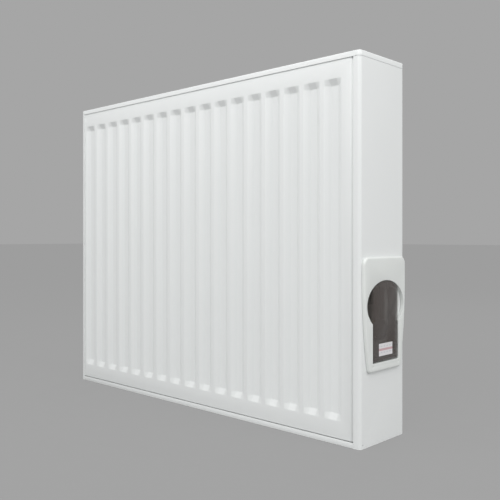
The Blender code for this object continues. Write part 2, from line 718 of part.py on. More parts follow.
def make_connector(name, x, z, finish):
    """A tube between the two panels' inner sheets."""
    start = Y_MIDDLE - PANEL_BACK + GAP
    bm = rod((x, start, z), (0, 1, 0), 2 * (PANEL_BACK - GAP), CONNECTOR_RADIUS)
    return add_object(name, mesh_from(bm, name, smooth=True), finish)


def bore_connector(tee, x, z):
    hole = rod((x, Y_MIDDLE - PANEL_BACK, z), (0, 1, 0), 2 * PANEL_BACK, CONNECTOR_BORE)
    combine(tee, cutter(f"{tee.name} water way", hole))


def make_left_connectors():
    x = X_LEFT + CONNECTOR_INSET
    reach = CONNECTOR_INSET - SOCKET_INSET
    for name, z in (("connector_top_left", TOP_ROW), ("connector_bottom_left", BOTTOM_ROW)):
        tee = make_connector(name, x, z, primed_steel)
        socket = rod((x, Y_MIDDLE, z), (-1, 0, 0), reach, SOCKET_RADIUS)
        combine(tee, cutter(f"{name} socket", socket), "UNION")
        bore_connector(tee, x, z)
        mouth = rod((x - SOCKET_FLOOR, Y_MIDDLE, z), (-1, 0, 0), reach, SOCKET_BORE)
        combine(tee, cutter(f"{name} mouth", mouth))


def make_plugs():
    """The air vent above and the blanking plug below, each on its gasket at the left end."""
    mouth = X_LEFT + SOCKET_INSET
    for name, z in (("vent_gasket", TOP_ROW), ("plug_gasket", BOTTOM_ROW)):
        sleeve(name, (mouth - GAP, Y_MIDDLE, z), (-1, 0, 0), GASKET_LENGTH,
               PLUG_HEAD_RADIUS, SOCKET_BORE, seal_rubber)
    head = mouth - 2 * GAP - GASKET_LENGTH - PLUG_HEAD_LENGTH
    thread = SOCKET_BORE - GAP
    end = -PLUG_HEAD_LENGTH - THREAD_LENGTH
    body = [(PLUG_HEAD_RADIUS, 0), (PLUG_HEAD_RADIUS, -PLUG_HEAD_LENGTH)]
    body += [(thread, -PLUG_HEAD_LENGTH), (thread, end)]

    solid = [(0, 0)] + body + [(0, end)]
    plug = turned("blanking_plug", solid, (head, Y_MIDDLE, BOTTOM_ROW), (-1, 0, 0), nickel)
    key = box((head - GAP, Y_MIDDLE - PLUG_KEY / 2, BOTTOM_ROW - PLUG_KEY / 2),
              (head + PLUG_HEAD_LENGTH / 2, Y_MIDDLE + PLUG_KEY / 2, BOTTOM_ROW + PLUG_KEY / 2))
    combine(plug, cutter("plug key", key))

    bore = BLEED_RADIUS + GAP
    stem = [(VENT_STEM_RADIUS, VENT_STEM_LENGTH), (VENT_STEM_RADIUS, 0)]
    vent = stem + body + [(bore, end), (bore, VENT_STEM_LENGTH)]
    turned("air_vent_plug", vent, (head, Y_MIDDLE, TOP_ROW), (-1, 0, 0), nickel)
    collar = sleeve("vent_collar", (head - GAP, Y_MIDDLE, TOP_ROW), (-1, 0, 0), COLLAR_LENGTH,
                    COLLAR_RADIUS, VENT_STEM_RADIUS + GAP, white_plastic)
    spout = rod((head - GAP - COLLAR_LENGTH / 2, Y_MIDDLE, TOP_ROW), (0, 0, -1), 2 * COLLAR_RADIUS,
                SPOUT_RADIUS, steps=SPOUT_STEPS)
    combine(collar, cutter("collar spout", spout))

    shoulder = head - VENT_STEM_LENGTH / 2
    inner_end = head + PLUG_HEAD_LENGTH
    shank = rod((inner_end, Y_MIDDLE, TOP_ROW), (-1, 0, 0), inner_end - shoulder, BLEED_RADIUS)
    bleed = add_object("bleed_screw", mesh_from(shank, "bleed_screw", smooth=True), brass)
    square = box((shoulder - BLEED_SQUARE_LENGTH, Y_MIDDLE - BLEED_SQUARE / 2, TOP_ROW - BLEED_SQUARE / 2),
                 (shoulder + VENT_STEM_LENGTH / 4, Y_MIDDLE + BLEED_SQUARE / 2, TOP_ROW + BLEED_SQUARE / 2))
    combine(bleed, cutter("bleed square", square), "UNION")


# --- Valve bay ----------------------------------------------------------------------------------

def make_bezel():
    thickness = BEZEL_STAND - GAP
    bezel = plate("bezel", bezel_outline(), X_RIGHT + GAP, thickness, white_plastic)
    rounding = bezel.modifiers.new("face edge", "BEVEL")
    rounding.width = BEZEL_ROUND
    rounding.segments = 2
    rounding.limit_method = "WEIGHT"
    weights = bezel.data.attributes.new("bevel_weight_edge", "FLOAT", "EDGE")
    for edge in bezel.data.edges:
        ends = [bezel.data.vertices[index].co.x for index in edge.vertices]
        weights.data[edge.index].value = 1.0 if min(ends) > X_RIGHT + thickness / 2 else 0.0
    combine(bezel, plate("bezel keyhole", keyhole(), X_RIGHT - BEZEL_STAND, 3 * BEZEL_STAND))
    reach = KEYHOLE_SLOT / 2 + PIN_IN_BEZEL
    bore = rod((HINGE_X, BEZEL_Y - reach, HINGE_Z), (0, 1, 0), 2 * reach, FLAP_PIN_RADIUS + GAP)
    combine(bezel, cutter("bezel pin bores", bore))


def make_recess_housing():
    back = X_RIGHT - RECESS_DEPTH - HOUSING_WALL
    depth = X_RIGHT - back
    outer = door_outline(HOUSING_WALL, KEYHOLE_BOTTOM - HOUSING_WALL)
    housing = plate("recess_housing", outer, back, depth, white_plastic)
    grow = HOUSING_WALL + HOUSING_FLANGE
    flange = door_outline(grow, KEYHOLE_BOTTOM - grow)
    combine(housing, plate("housing flange", flange, X_RIGHT - INSET - HOUSING_WALL, HOUSING_WALL), "UNION")
    combine(housing, cutter("scoop shell", scoop(HOUSING_WALL, back + GAP, X_RIGHT)), "UNION")
    floor = X_RIGHT - RECESS_DEPTH
    combine(housing, plate("recess", door_outline(), floor, 2 * depth))
    combine(housing, cutter("scoop hollow", scoop(0.0, floor + GAP, X_RIGHT + depth)))
    window = box((back - depth, BEZEL_Y - WINDOW_WIDTH / 2, WINDOW_BOTTOM),
                 (X_RIGHT, BEZEL_Y + WINDOW_WIDTH / 2, WINDOW_TOP))
    combine(housing, cutter("window", window))


def make_flap():
    half = KEYHOLE_SLOT / 2 - FLAP_GAP
    flap = plate("service_flap", door_outline(-FLAP_GAP, HINGE_Z), FLAP_BACK, FLAP_THICKNESS, smoked_plastic)
    barrel = rod((HINGE_X, BEZEL_Y - half, HINGE_Z), (0, 1, 0), 2 * half, FLAP_THICKNESS / 2)
    combine(flap, cutter("flap barrel", barrel), "UNION")
    pocket = door_outline(-FLAP_GAP - FLAP_WALL, HINGE_Z + FLAP_THICKNESS / 2 + FLAP_WALL)
    combine(flap, plate("flap hollow", pocket, FLAP_BACK - FLAP_THICKNESS, 2 * FLAP_THICKNESS - FLAP_FACE))
    for label, side in (("front", -1), ("rear", 1)):
        y = BEZEL_Y + side * (half - FLAP_WALL / 2 - FLAP_SIDE_INSET)
        wall = box((FLAP_BACK - FLAP_SIDE_DEPTH, y - FLAP_WALL / 2, FLAP_SIDE_BOTTOM),
                   (FLAP_FRONT - FLAP_FACE / 2, y + FLAP_WALL / 2, FLAP_SIDE_TOP))
        combine(flap, cutter(f"flap side {label}", wall), "UNION")
        y = BEZEL_Y + side * RIB_SPACING / 2
        rib = box((FLAP_BACK + RIB_SET_BACK, y - RIB_WIDTH / 2, RIB_BOTTOM),
                  (FLAP_FRONT - FLAP_FACE / 2, y + RIB_WIDTH / 2, RIB_TOP))
        combine(flap, cutter(f"flap rib {label}", rib), "UNION")
    bore = rod((HINGE_X, BEZEL_Y - half - GAP, HINGE_Z), (0, 1, 0), 2 * (half + GAP), FLAP_PIN_RADIUS + GAP)
    combine(flap, cutter("flap bore", bore))
    wide = LABEL_WIDTH / 2 + LABEL_MARGIN
    high = LABEL_HEIGHT / 2 + LABEL_MARGIN
    seat = box((FLAP_FRONT - LABEL_POCKET, BEZEL_Y - wide, LABEL_CENTRE - high),
               (FLAP_FRONT + LABEL_POCKET, BEZEL_Y + wide, LABEL_CENTRE + high))
    combine(flap, cutter("label seat", seat))

    reach = KEYHOLE_SLOT / 2 + PIN_IN_BEZEL - GAP
    pin = rod((HINGE_X, BEZEL_Y - reach, HINGE_Z), (0, 1, 0), 2 * reach, FLAP_PIN_RADIUS)
    add_object("flap_hinge_pin", mesh_from(pin, "flap_hinge_pin", smooth=True), bright_steel)
    start = FLAP_FRONT - LABEL_POCKET + GAP
    label = box((start, BEZEL_Y - LABEL_WIDTH / 2, LABEL_CENTRE - LABEL_HEIGHT / 2),
                (start + LABEL_THICKNESS, BEZEL_Y + LABEL_WIDTH / 2, LABEL_CENTRE + LABEL_HEIGHT / 2))
    add_object("flap_label", mesh_from(label, "flap_label"), label_film)


def make_knob():
    """A fluted knob with a dished face, a pointer notch, and a socket for the insert's stem."""
    points = KNOB_FLUTES * KNOB_FLUTE_POINTS
    bm = bmesh.new()
    rim = []
    for index in range(points):
        angle = math.tau * index / points
        radius = KNOB_RADIUS - KNOB_FLUTE_DEPTH * (1 - math.cos(KNOB_FLUTES * angle)) / 2
        y = VALVE_Y + radius * math.cos(angle)
        rim.append(bm.verts.new((KNOB_BACK, y, VALVE_HEIGHT + radius * math.sin(angle))))
    face = bm.faces.new(rim)
    back = face
    narrowed = 1 - KNOB_CHAMFER / KNOB_RADIUS
    for rise, scale in ((KNOB_LENGTH - KNOB_CHAMFER, 1.0), (KNOB_CHAMFER, narrowed)):
        grown = bmesh.ops.extrude_face_region(bm, geom=[face])["geom"]
        if face is not back:
            bmesh.ops.delete(bm, geom=[face], context="FACES_ONLY")
        face = next(item for item in grown if isinstance(item, bmesh.types.BMFace))
        moved = [item for item in grown if isinstance(item, bmesh.types.BMVert)]
        bmesh.ops.translate(bm, vec=(rise, 0, 0), verts=moved)
        middle = Matrix.Translation((0, -VALVE_Y, -VALVE_HEIGHT))
        bmesh.ops.scale(bm, vec=(1, scale, scale), space=middle, verts=moved)
    bmesh.ops.recalc_face_normals(bm, faces=bm.faces)
    knob = add_object("valve_knob", mesh_from(bm, "valve_knob"), grey_plastic)
    floor = (KNOB_FRONT - KNOB_DISH_DEPTH, VALVE_Y, VALVE_HEIGHT)
    dish = rod(floor, (1, 0, 0), 2 * KNOB_DISH_DEPTH, KNOB_DISH_RADIUS)
    combine(knob, cutter("knob dish", dish))
    socket = rod((KNOB_BACK + KNOB_SOCKET_DEPTH, VALVE_Y, VALVE_HEIGHT), (-1, 0, 0),
                 2 * KNOB_SOCKET_DEPTH, KNOB_SOCKET_RADIUS)
    combine(knob, cutter("knob socket", socket))
    half = KNOB_POINTER_WIDTH / 2
    notch = box((KNOB_FRONT - KNOB_DISH_DEPTH / 2, VALVE_Y - half, VALVE_HEIGHT + KNOB_RADIUS / 2),
                (KNOB_FRONT + KNOB_DISH_DEPTH, VALVE_Y + half, VALVE_HEIGHT + 2 * KNOB_RADIUS))
    combine(knob, cutter("knob pointer", notch))


def make_valve_insert():
    flange = -STEM_LENGTH - INSERT_FLANGE_LENGTH
    end = flange - INSERT_LENGTH
    outer = [(STEM_RADIUS, 0), (STEM_RADIUS, -STEM_LENGTH), (INSERT_FLANGE_RADIUS, -STEM_LENGTH)]
    outer += [(INSERT_FLANGE_RADIUS, flange), (INSERT_RADIUS, flange), (INSERT_RADIUS, end)]
    inner = [(INSERT_NECK, end), (INSERT_NECK, end + INSERT_END_WALL)]
    inner += [(INSERT_BORE, end + INSERT_END_WALL), (INSERT_BORE, -STEM_LENGTH)]
    inner += [(INSERT_NECK, -STEM_LENGTH), (INSERT_NECK, 0)]
    turned("valve_insert", outer + inner, (STEM_END, VALVE_Y, VALVE_HEIGHT), (1, 0, 0), brass)
    middle = INSERT_SHOULDER - INSERT_FLANGE_LENGTH - GAP - SEAL_WIRE
    centre_radius = INSERT_RADIUS + GAP + SEAL_WIRE
    angles = [-math.tau * index / SEAL_POINTS for index in range(SEAL_POINTS)]
    ring = [(centre_radius + SEAL_WIRE * math.cos(a), SEAL_WIRE * math.sin(a)) for a in angles]
    turned("insert_o_ring", ring, (middle, VALVE_Y, VALVE_HEIGHT), (1, 0, 0), seal_rubber)


def make_spindle():
    collar = -STEM_LENGTH - 2 * GAP
    collar_end = collar - SPINDLE_COLLAR_LENGTH
    inner_end = INSERT_END - STEM_END - DISC_LIFT
    profile = [(0, 0), (SPINDLE_RADIUS, 0), (SPINDLE_RADIUS, collar), (SPINDLE_COLLAR_RADIUS, collar)]
    profile += [(SPINDLE_COLLAR_RADIUS, collar_end), (SPINDLE_RADIUS, collar_end)]
    profile += [(SPINDLE_RADIUS, inner_end), (0, inner_end)]
    turned("valve_spindle", profile, (STEM_END, VALVE_Y, VALVE_HEIGHT), (1, 0, 0), bright_steel)
    disc_start = STEM_END + inner_end - GAP
    disc = rod((disc_start, VALVE_Y, VALVE_HEIGHT), (-1, 0, 0), DISC_LENGTH, DISC_RADIUS)
    add_object("valve_disc", mesh_from(disc, "valve_disc", smooth=True), seal_rubber)

    start = STEM_END + collar_end - GAP - SPRING_WIRE
    end = INSERT_END + INSERT_END_WALL + GAP + SPRING_WIRE
    curve = bpy.data.curves.new("valve_spring", "CURVE")
    curve.dimensions = "3D"
    curve.bevel_depth = SPRING_WIRE
    curve.bevel_resolution = 2
    curve.render_resolution_u = 0
    curve.use_fill_caps = True
    knots = SPRING_TURNS * SPRING_POINTS
    spline = curve.splines.new("POLY")
    spline.points.add(knots)
    for index in range(knots + 1):
        share = index / knots
        angle = math.tau * SPRING_TURNS * share
        y = VALVE_Y + SPRING_RADIUS * math.cos(angle)
        z = VALVE_HEIGHT + SPRING_RADIUS * math.sin(angle)
        spline.points[index].co = (start + (end - start) * share, y, z, 1.0)
    spring = bpy.data.objects.new("valve_spring", curve)
    parts.objects.link(spring)
    curve.materials.append(bright_steel)


def make_valve_body():
    bottom = VALVE_HEIGHT - VALVE_BODY_HALF
    length = 2 * VALVE_BODY_HALF
    bm = rod((VALVE_X, VALVE_Y, bottom), (0, 0, 1), length, VALVE_BODY_RADIUS)
    body = add_object("valve_body", mesh_from(bm, "valve_body", smooth=True), nickel)
    boss = rod((VALVE_X, VALVE_Y, VALVE_HEIGHT), (1, 0, 0), BODY_FACE - VALVE_X, VALVE_BOSS_RADIUS)
    combine(body, cutter("insert boss", boss), "UNION")
    water = rod((VALVE_X, VALVE_Y, bottom - length), (0, 0, 1), 3 * length, PIPE_RADIUS - PIPE_WALL)
    combine(body, cutter("body water way", water))
    inner = INSERT_END - DISC_LIFT - DISC_LENGTH - SPINDLE_TRAVEL - 2 * GAP
    seat = rod((inner, VALVE_Y, VALVE_HEIGHT), (1, 0, 0), 2 * (BODY_FACE - inner), INSERT_RADIUS + GAP)
    combine(body, cutter("insert seat", seat))
    slide = PIPE_RADIUS + PIPE_CLEARANCE
    for label, z in (("bottom", bottom), ("top", bottom + length)):
        socket = rod((VALVE_X, VALVE_Y, z - PIPE_ENGAGEMENT), (0, 0, 1), 2 * PIPE_ENGAGEMENT, slide)
        combine(body, cutter(f"{label} pipe socket", socket))


def make_pipes():
    """Feed pipe up to the valve, and riser from the valve to the top connector."""
    bore = PIPE_RADIUS - PIPE_WALL
    slide = PIPE_RADIUS + PIPE_CLEARANCE
    bottom = VALVE_HEIGHT - VALVE_BODY_HALF
    top = VALVE_HEIGHT + VALVE_BODY_HALF
    feed_start = CONNECTION_LENGTH - PIPE_ENGAGEMENT + GAP
    feed_end = bottom + PIPE_ENGAGEMENT - GAP
    sleeve("feed_pipe", (FEED_X, VALVE_Y, feed_start), (0, 0, 1), feed_end - feed_start,
           PIPE_RADIUS, bore, primed_steel)
    riser_start = top - PIPE_ENGAGEMENT + GAP
    riser_end = TOP_ROW - CONNECTOR_RADIUS - BRANCH_LENGTH + PIPE_ENGAGEMENT - GAP
    sleeve("riser_pipe", (VALVE_X, VALVE_Y, riser_start), (0, 0, 1), riser_end - riser_start,
           PIPE_RADIUS, bore, primed_steel)
    for name, z in (("union_nut_bottom", bottom - GAP - NUT_LENGTH), ("union_nut_top", top + GAP)):
        nut = rod((VALVE_X, VALVE_Y, z), (0, 0, 1), NUT_LENGTH, NUT_RADIUS, steps=NUT_SIDES)
        piece = add_object(name, mesh_from(nut, name), nickel)
        hole = rod((VALVE_X, VALVE_Y, z - NUT_LENGTH), (0, 0, 1), 3 * NUT_LENGTH, slide)
        combine(piece, cutter(f"{name} hole", hole))


def make_right_connectors():
    """The riser's connector at the top, and the return's at the bottom with its own mouth."""
    bore = PIPE_RADIUS - PIPE_WALL
    slide = PIPE_RADIUS + PIPE_CLEARANCE
    tee = make_connector("connector_top_right", VALVE_X, TOP_ROW, primed_steel)
    reach = CONNECTOR_RADIUS + BRANCH_LENGTH
    branch = rod((VALVE_X, VALVE_Y, TOP_ROW), (0, 0, -1), reach, PIPE_RADIUS + BRANCH_WALL)
    combine(tee, cutter("riser branch", branch), "UNION")
    bore_connector(tee, VALVE_X, TOP_ROW)
    combine(tee, cutter("riser bore", rod((VALVE_X, VALVE_Y, TOP_ROW), (0, 0, -1), 2 * reach, bore)))
    seat = rod((VALVE_X, VALVE_Y, TOP_ROW - reach + PIPE_ENGAGEMENT), (0, 0, -1), reach, slide)
    combine(tee, cutter("riser seat", seat))

    tee = make_connector("connector_bottom_right", RETURN_X, BOTTOM_ROW, primed_steel)
    branch = rod((RETURN_X, VALVE_Y, 0.0), (0, 0, 1), BOTTOM_ROW, CONNECTION_RADIUS)
    combine(tee, cutter("return branch", branch), "UNION")
    bore_connector(tee, RETURN_X, BOTTOM_ROW)
    mouth = rod((RETURN_X, VALVE_Y, CONNECTION_DEPTH), (0, 0, -1), 2 * CONNECTION_DEPTH, CONNECTION_BORE)
    combine(tee, cutter("return mouth", mouth))
    passage = rod((RETURN_X, VALVE_Y, 0.0), (0, 0, 1), BOTTOM_ROW, RETURN_PASSAGE)
    combine(tee, cutter("return passage", passage))


def make_connections():
    bore = PIPE_RADIUS - PIPE_WALL
    slide = PIPE_RADIUS + PIPE_CLEARANCE
    seat = CONNECTION_LENGTH - PIPE_ENGAGEMENT
    profile = [(CONNECTION_RADIUS, CONNECTION_LENGTH), (CONNECTION_RADIUS, 0), (CONNECTION_BORE, 0)]
    profile += [(CONNECTION_BORE, CONNECTION_DEPTH), (bore, CONNECTION_DEPTH), (bore, seat)]
    profile += [(slide, seat), (slide, CONNECTION_LENGTH)]
    turned("feed_connection", profile, (FEED_X, VALVE_Y, 0.0), (0, 0, 1), nickel)

    margin = CONNECTION_RADIUS + PLATE_MARGIN
    spacer = box((RETURN_X - margin, VALVE_Y - margin, PLATE_HEIGHT),
                 (FEED_X + margin, VALVE_Y + margin, PLATE_HEIGHT + PLATE_SHEET))
    piece = add_object("connection_plate", mesh_from(spacer, "connection_plate"), galvanised)
    for label, x in (("feed", FEED_X), ("return", RETURN_X)):
        hole = rod((x, VALVE_Y, 0.0), (0, 0, 1), 3 * PLATE_HEIGHT, CONNECTION_RADIUS + GAP)
        combine(piece, cutter(f"plate {label} hole", hole))


# --- Build --------------------------------------------------------------------------------------

clear_scene()
parts = new_collection("radiator_with_valve")
cutters = new_collection("cutters")

white_steel = material("white enamelled steel", (0.86, 0.88, 0.87), 0.32)
primed_steel = material("primed steel", (0.62, 0.63, 0.63), 0.5)
white_plastic = material("white plastic", (0.84, 0.86, 0.84), 0.38)
smoked_plastic = material("smoked plastic", (0.10, 0.085, 0.078), 0.15, alpha=0.6)
grey_plastic = material("grey plastic", (0.35, 0.36, 0.35), 0.45)
label_film = material("label film", (0.88, 0.87, 0.88), 0.4)
galvanised = material("galvanised steel", (0.55, 0.57, 0.58), 0.45, 1.0)
nickel = material("nickel plate", (0.66, 0.65, 0.62), 0.25, 1.0)
brass = material("brass", (0.72, 0.56, 0.30), 0.3, 1.0)
bright_steel = material("bright steel", (0.60, 0.60, 0.60), 0.3, 1.0)
seal_rubber = material("seal rubber", (0.03, 0.03, 0.03), 0.7)

make_panels()
make_convectors()
make_top_grille()
make_bottom_cover()
make_side_panels()
make_side_brackets()
make_clips()
make_lugs()
make_left_connectors()
make_plugs()
make_bezel()
make_recess_housing()
make_flap()
make_knob()
make_valve_insert()
make_spindle()
make_valve_body()
make_pipes()
make_right_connectors()
make_connections()
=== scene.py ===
# %% [markdown]
# # A panel radiator with its valve behind a smoked flap
#
# The imported model already holds every sub-part at its right place and size. This lesson dresses
# it: pressed sheets with soft shoulders, a slotted top, a moulded bezel, a see-through flap, and
# enamel, plating and plastic that are worked out by shader nodes.
#
# The model is loaded first, and nothing that follows grows its box. Nothing that follows may grow
# it.

# %% Load the model
import json
import math

import bmesh
import bpy
from mathutils import Matrix, Vector

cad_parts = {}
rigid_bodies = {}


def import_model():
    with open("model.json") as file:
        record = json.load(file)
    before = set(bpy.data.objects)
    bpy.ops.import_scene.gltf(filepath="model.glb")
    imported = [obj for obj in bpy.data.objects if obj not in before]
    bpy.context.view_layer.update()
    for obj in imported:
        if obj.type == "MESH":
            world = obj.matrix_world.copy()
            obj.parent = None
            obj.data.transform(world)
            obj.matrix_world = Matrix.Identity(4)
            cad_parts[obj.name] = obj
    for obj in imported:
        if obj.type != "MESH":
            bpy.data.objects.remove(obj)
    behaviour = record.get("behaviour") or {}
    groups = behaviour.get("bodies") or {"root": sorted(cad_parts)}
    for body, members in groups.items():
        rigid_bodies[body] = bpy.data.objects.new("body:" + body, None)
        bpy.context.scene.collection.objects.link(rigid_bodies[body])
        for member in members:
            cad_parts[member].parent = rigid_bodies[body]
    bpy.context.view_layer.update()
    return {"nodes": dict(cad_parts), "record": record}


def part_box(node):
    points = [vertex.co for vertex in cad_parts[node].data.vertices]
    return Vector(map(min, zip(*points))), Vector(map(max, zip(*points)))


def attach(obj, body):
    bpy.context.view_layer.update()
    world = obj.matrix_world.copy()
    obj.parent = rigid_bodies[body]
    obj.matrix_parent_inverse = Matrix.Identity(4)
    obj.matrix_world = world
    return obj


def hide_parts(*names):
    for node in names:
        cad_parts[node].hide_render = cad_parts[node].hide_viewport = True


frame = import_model()

# %% [markdown]
# ## Camera
#
# The radiator is seen from the room side and from the end with the valve, at half its height, so
# the upright edges stay upright. The lens is a little longer than a standard one. A small shift
# frames the radiator left of the middle without turning the camera.

# %% Camera
CAMERA_PLACE = (0.7681, -0.7944, 0.2668)
CAMERA_TURN = (math.radians(89.98), 0.0, math.radians(45.62))
CAMERA_LENS = 49.37
CAMERA_SENSOR = 36.0
CAMERA_SHIFT = (0.10, -0.0271)

camera_data = bpy.data.cameras.new("camera")
camera_data.lens = CAMERA_LENS
camera_data.sensor_width = CAMERA_SENSOR
camera_data.shift_x, camera_data.shift_y = CAMERA_SHIFT
camera = bpy.data.objects.new("camera", camera_data)
camera.location = CAMERA_PLACE
camera.rotation_euler = CAMERA_TURN
bpy.context.scene.collection.objects.link(camera)
bpy.context.scene.camera = camera
bpy.context.scene.view_settings.view_transform = "Standard"
print("camera at", CAMERA_PLACE)

# %% [markdown]
# ## A small language for shader nodes
#
# A finish is easier to read as arithmetic than as a web of nodes. A socket is wrapped so that
# `mask * 0.2 + 0.4` adds the Math nodes by itself, and one method adds any other node from its
# settings and its inputs. Colours and vectors go through Mix and Vector Math, since a Math node
# would turn a colour grey.

# %% Shader sockets as values
MIX_SHARE, MIX_FIRST, MIX_SECOND, MIX_RESULT = 0, 6, 7, 2   # the Mix node's colour sockets


class Value:
    """A socket that can be used in arithmetic."""

    def __init__(self, tree, socket):
        self.tree = tree
        self.socket = socket

    def math(self, operation, first, second):
        return self.tree.math(operation, first, second)

    def other(self, output):
        """Another output of the same node."""
        return Value(self.tree, self.socket.node.outputs[output])

    def __add__(self, other):
        return self.math("ADD", self, other)

    def __radd__(self, other):
        return self.math("ADD", other, self)

    def __sub__(self, other):
        return self.math("SUBTRACT", self, other)

    def __rsub__(self, other):
        return self.math("SUBTRACT", other, self)

    def __mul__(self, other):
        return self.math("MULTIPLY", self, other)

    def __rmul__(self, other):
        return self.math("MULTIPLY", other, self)

    def above(self, limit):
        return self.math("GREATER_THAN", self, limit)

    def below(self, limit):
        return self.math("LESS_THAN", self, limit)


class Finish:
    """A material, its Principled shader, and short ways to add nodes to it."""

    def __init__(self, name, **constants):
        self.material = bpy.data.materials.new(name)
        self.material.use_nodes = True
        self.nodes = self.material.node_tree.nodes
        self.links = self.material.node_tree.links
        self.shader = self.nodes["Principled BSDF"]
        self.place = self.node("ShaderNodeTexCoord", {}, {}, "Object")
        for socket, value in constants.items():
            self.shader.inputs[socket.replace("_", " ")].default_value = value

    def math(self, operation, first, second):
        return self.node("ShaderNodeMath", {"operation": operation}, {0: first, 1: second})

    def node(self, kind, settings, inputs, output=0):
        made = self.nodes.new(kind)
        for setting, value in settings.items():
            setattr(made, setting, value)
        for name, value in inputs.items():
            self.feed(made.inputs[name], value)
        return Value(self, made.outputs[output])

    def feed(self, socket, value):
        if isinstance(value, Value):
            self.links.new(value.socket, socket)
        else:
            socket.default_value = value

    def set(self, **inputs):
        for name, value in inputs.items():
            self.feed(self.shader.inputs[name.replace("_", " ")], value)

    def noise(self, scale, detail=2.0, stretch=(1, 1, 1)):
        place = self.node("ShaderNodeMapping", {}, {"Vector": self.place, "Scale": stretch})
        return self.node("ShaderNodeTexNoise", {}, {"Vector": place, "Scale": scale, "Detail": detail})

    def cells(self, scale):
        return self.node("ShaderNodeTexVoronoi", {}, {"Vector": self.place, "Scale": scale}, "Color")

    def colours(self, share, first, second):
        """Two colours, plain or worked out, mixed by a share from 0 to 1."""
        first, second = (end if isinstance(end, Value) else (*end, 1.0) for end in (first, second))
        inputs = {MIX_SHARE: share, MIX_FIRST: first, MIX_SECOND: second}
        return self.node("ShaderNodeMix", {"data_type": "RGBA"}, inputs, MIX_RESULT)

    def bump(self, height, strength, distance):
        inputs = {"Height": height, "Strength": strength, "Distance": distance}
        self.set(Normal=self.node("ShaderNodeBump", {}, inputs))

    def crystals(self, scale):
        """A grey that is steady over each cell and differs from cell to cell."""
        return self.node("ShaderNodeSeparateColor", {}, {"Color": self.cells(scale)})


print("shader values ready")

# %% [markdown]
# ## Enamel, and how it could be made
#
# Radiators are dipped in primer, then powder coated and stoved. The coat flows before it sets, so
# it keeps a faint orange peel of one or two millimetres, and it pools very slightly thinner on
# edges. A fine noise as bump gives the peel, and a broad one moves the roughness, so that the
# sheets don't look like plain plaster. The light is soft, so the bump has to stay small.

# %% Enamel
WHITE = (0.905, 0.925, 0.920)
WHITE_SHADE = (0.882, 0.903, 0.898)
PEEL_SCALE = 650.0
PEEL_HEIGHT = 0.00012
POOLING_SCALE = 9.0


def enamel(name, peel):
    coat = Finish(name, Coat_Weight=0.25, Coat_Roughness=0.12)
    broad = coat.noise(POOLING_SCALE, 3.0)
    fine = coat.noise(PEEL_SCALE, 1.5)
    coat.set(Base_Color=coat.colours(broad, WHITE_SHADE, WHITE), Roughness=broad * 0.12 + 0.30)
    coat.bump(fine, peel, PEEL_HEIGHT)
    return coat.material


white_enamel = enamel("white enamel", 0.10)
print("made", white_enamel.name)

# %% [markdown]
# ## Moulded plastics
#
# The bezel and the recess behind it are moulded in a white that is a little duller and greener
# than the enamel. A mould is spark eroded, which leaves a fine grain: two noises of a tenth of a
# millimetre and half a millimetre. The knob has the same grain in grey.
#
# The flap is smoked: a grey-brown plastic that lets some light through, so the valve and the white
# recess behind it show faintly. It could be glass-like, with real refraction, but in a thin
# moulding alpha reads the same, and stays clear of noise. Each surface takes its share of the
# light, so the ribs and the deep side walls, seen through more of them, come out darker.

# %% Plastics
GRAIN_SCALE = 2600.0
GRAIN_HEIGHT = 0.00008
MOULD_CLOUD = 40.0
STREAK_SCALE = 60.0
STREAK_STRETCH = (1.0, 1.0, 0.25)
RIPPLE_SCALE = 300.0
RIPPLE_HEIGHT = 0.0001


def grained_plastic(name, light, dark, roughness, grain):
    moulding = Finish(name)
    fine = moulding.noise(GRAIN_SCALE)
    broad = moulding.noise(MOULD_CLOUD, 3.0)
    moulding.set(Base_Color=moulding.colours(broad, dark, light), Roughness=fine * 0.10 + roughness)
    moulding.bump(fine + broad * 0.2, grain, GRAIN_HEIGHT)
    return moulding.material


white_plastic = grained_plastic("white moulded plastic", (0.845, 0.870, 0.850),
                                (0.815, 0.842, 0.820), roughness=0.36, grain=0.12)
grey_plastic = grained_plastic("grey knob plastic", (0.20, 0.21, 0.20), (0.15, 0.16, 0.15),
                               roughness=0.38, grain=0.25)


def smoked():
    brown = Finish("smoked plastic", Coat_Weight=0.35, Coat_Roughness=0.06)
    streak = brown.noise(STREAK_SCALE, 3.0, STREAK_STRETCH)
    brown.set(Base_Color=brown.colours(streak, (0.098, 0.082, 0.075), (0.122, 0.103, 0.094)))
    brown.set(Roughness=streak * 0.10 + 0.16, Alpha=streak * 0.05 + 0.52)
    brown.bump(brown.noise(RIPPLE_SCALE), 0.06, RIPPLE_HEIGHT)
    return brown.material


smoked_plastic = smoked()
print("made", white_plastic.name, grey_plastic.name, smoked_plastic.name)

# %% [markdown]
# ## The flap's label
#
# A film sits in a shallow pocket near the flap's foot: white, with a reddish band across its middle
# and two rows of pale dashes. The bands could be strips of mesh, but they are only tone, so each
# one is a mask made by comparing the height with two limits, and a wave along the label breaks the
# rows into dashes.

# %% Label film
label_low, label_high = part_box("flap_label")
LABEL_BAND = (0.42, 0.60)
LABEL_ROWS = ((0.22, 0.32), (0.72, 0.80))
LABEL_DASH = 900.0
DASH_GAP = -0.2
FADE_SCALE = 300.0


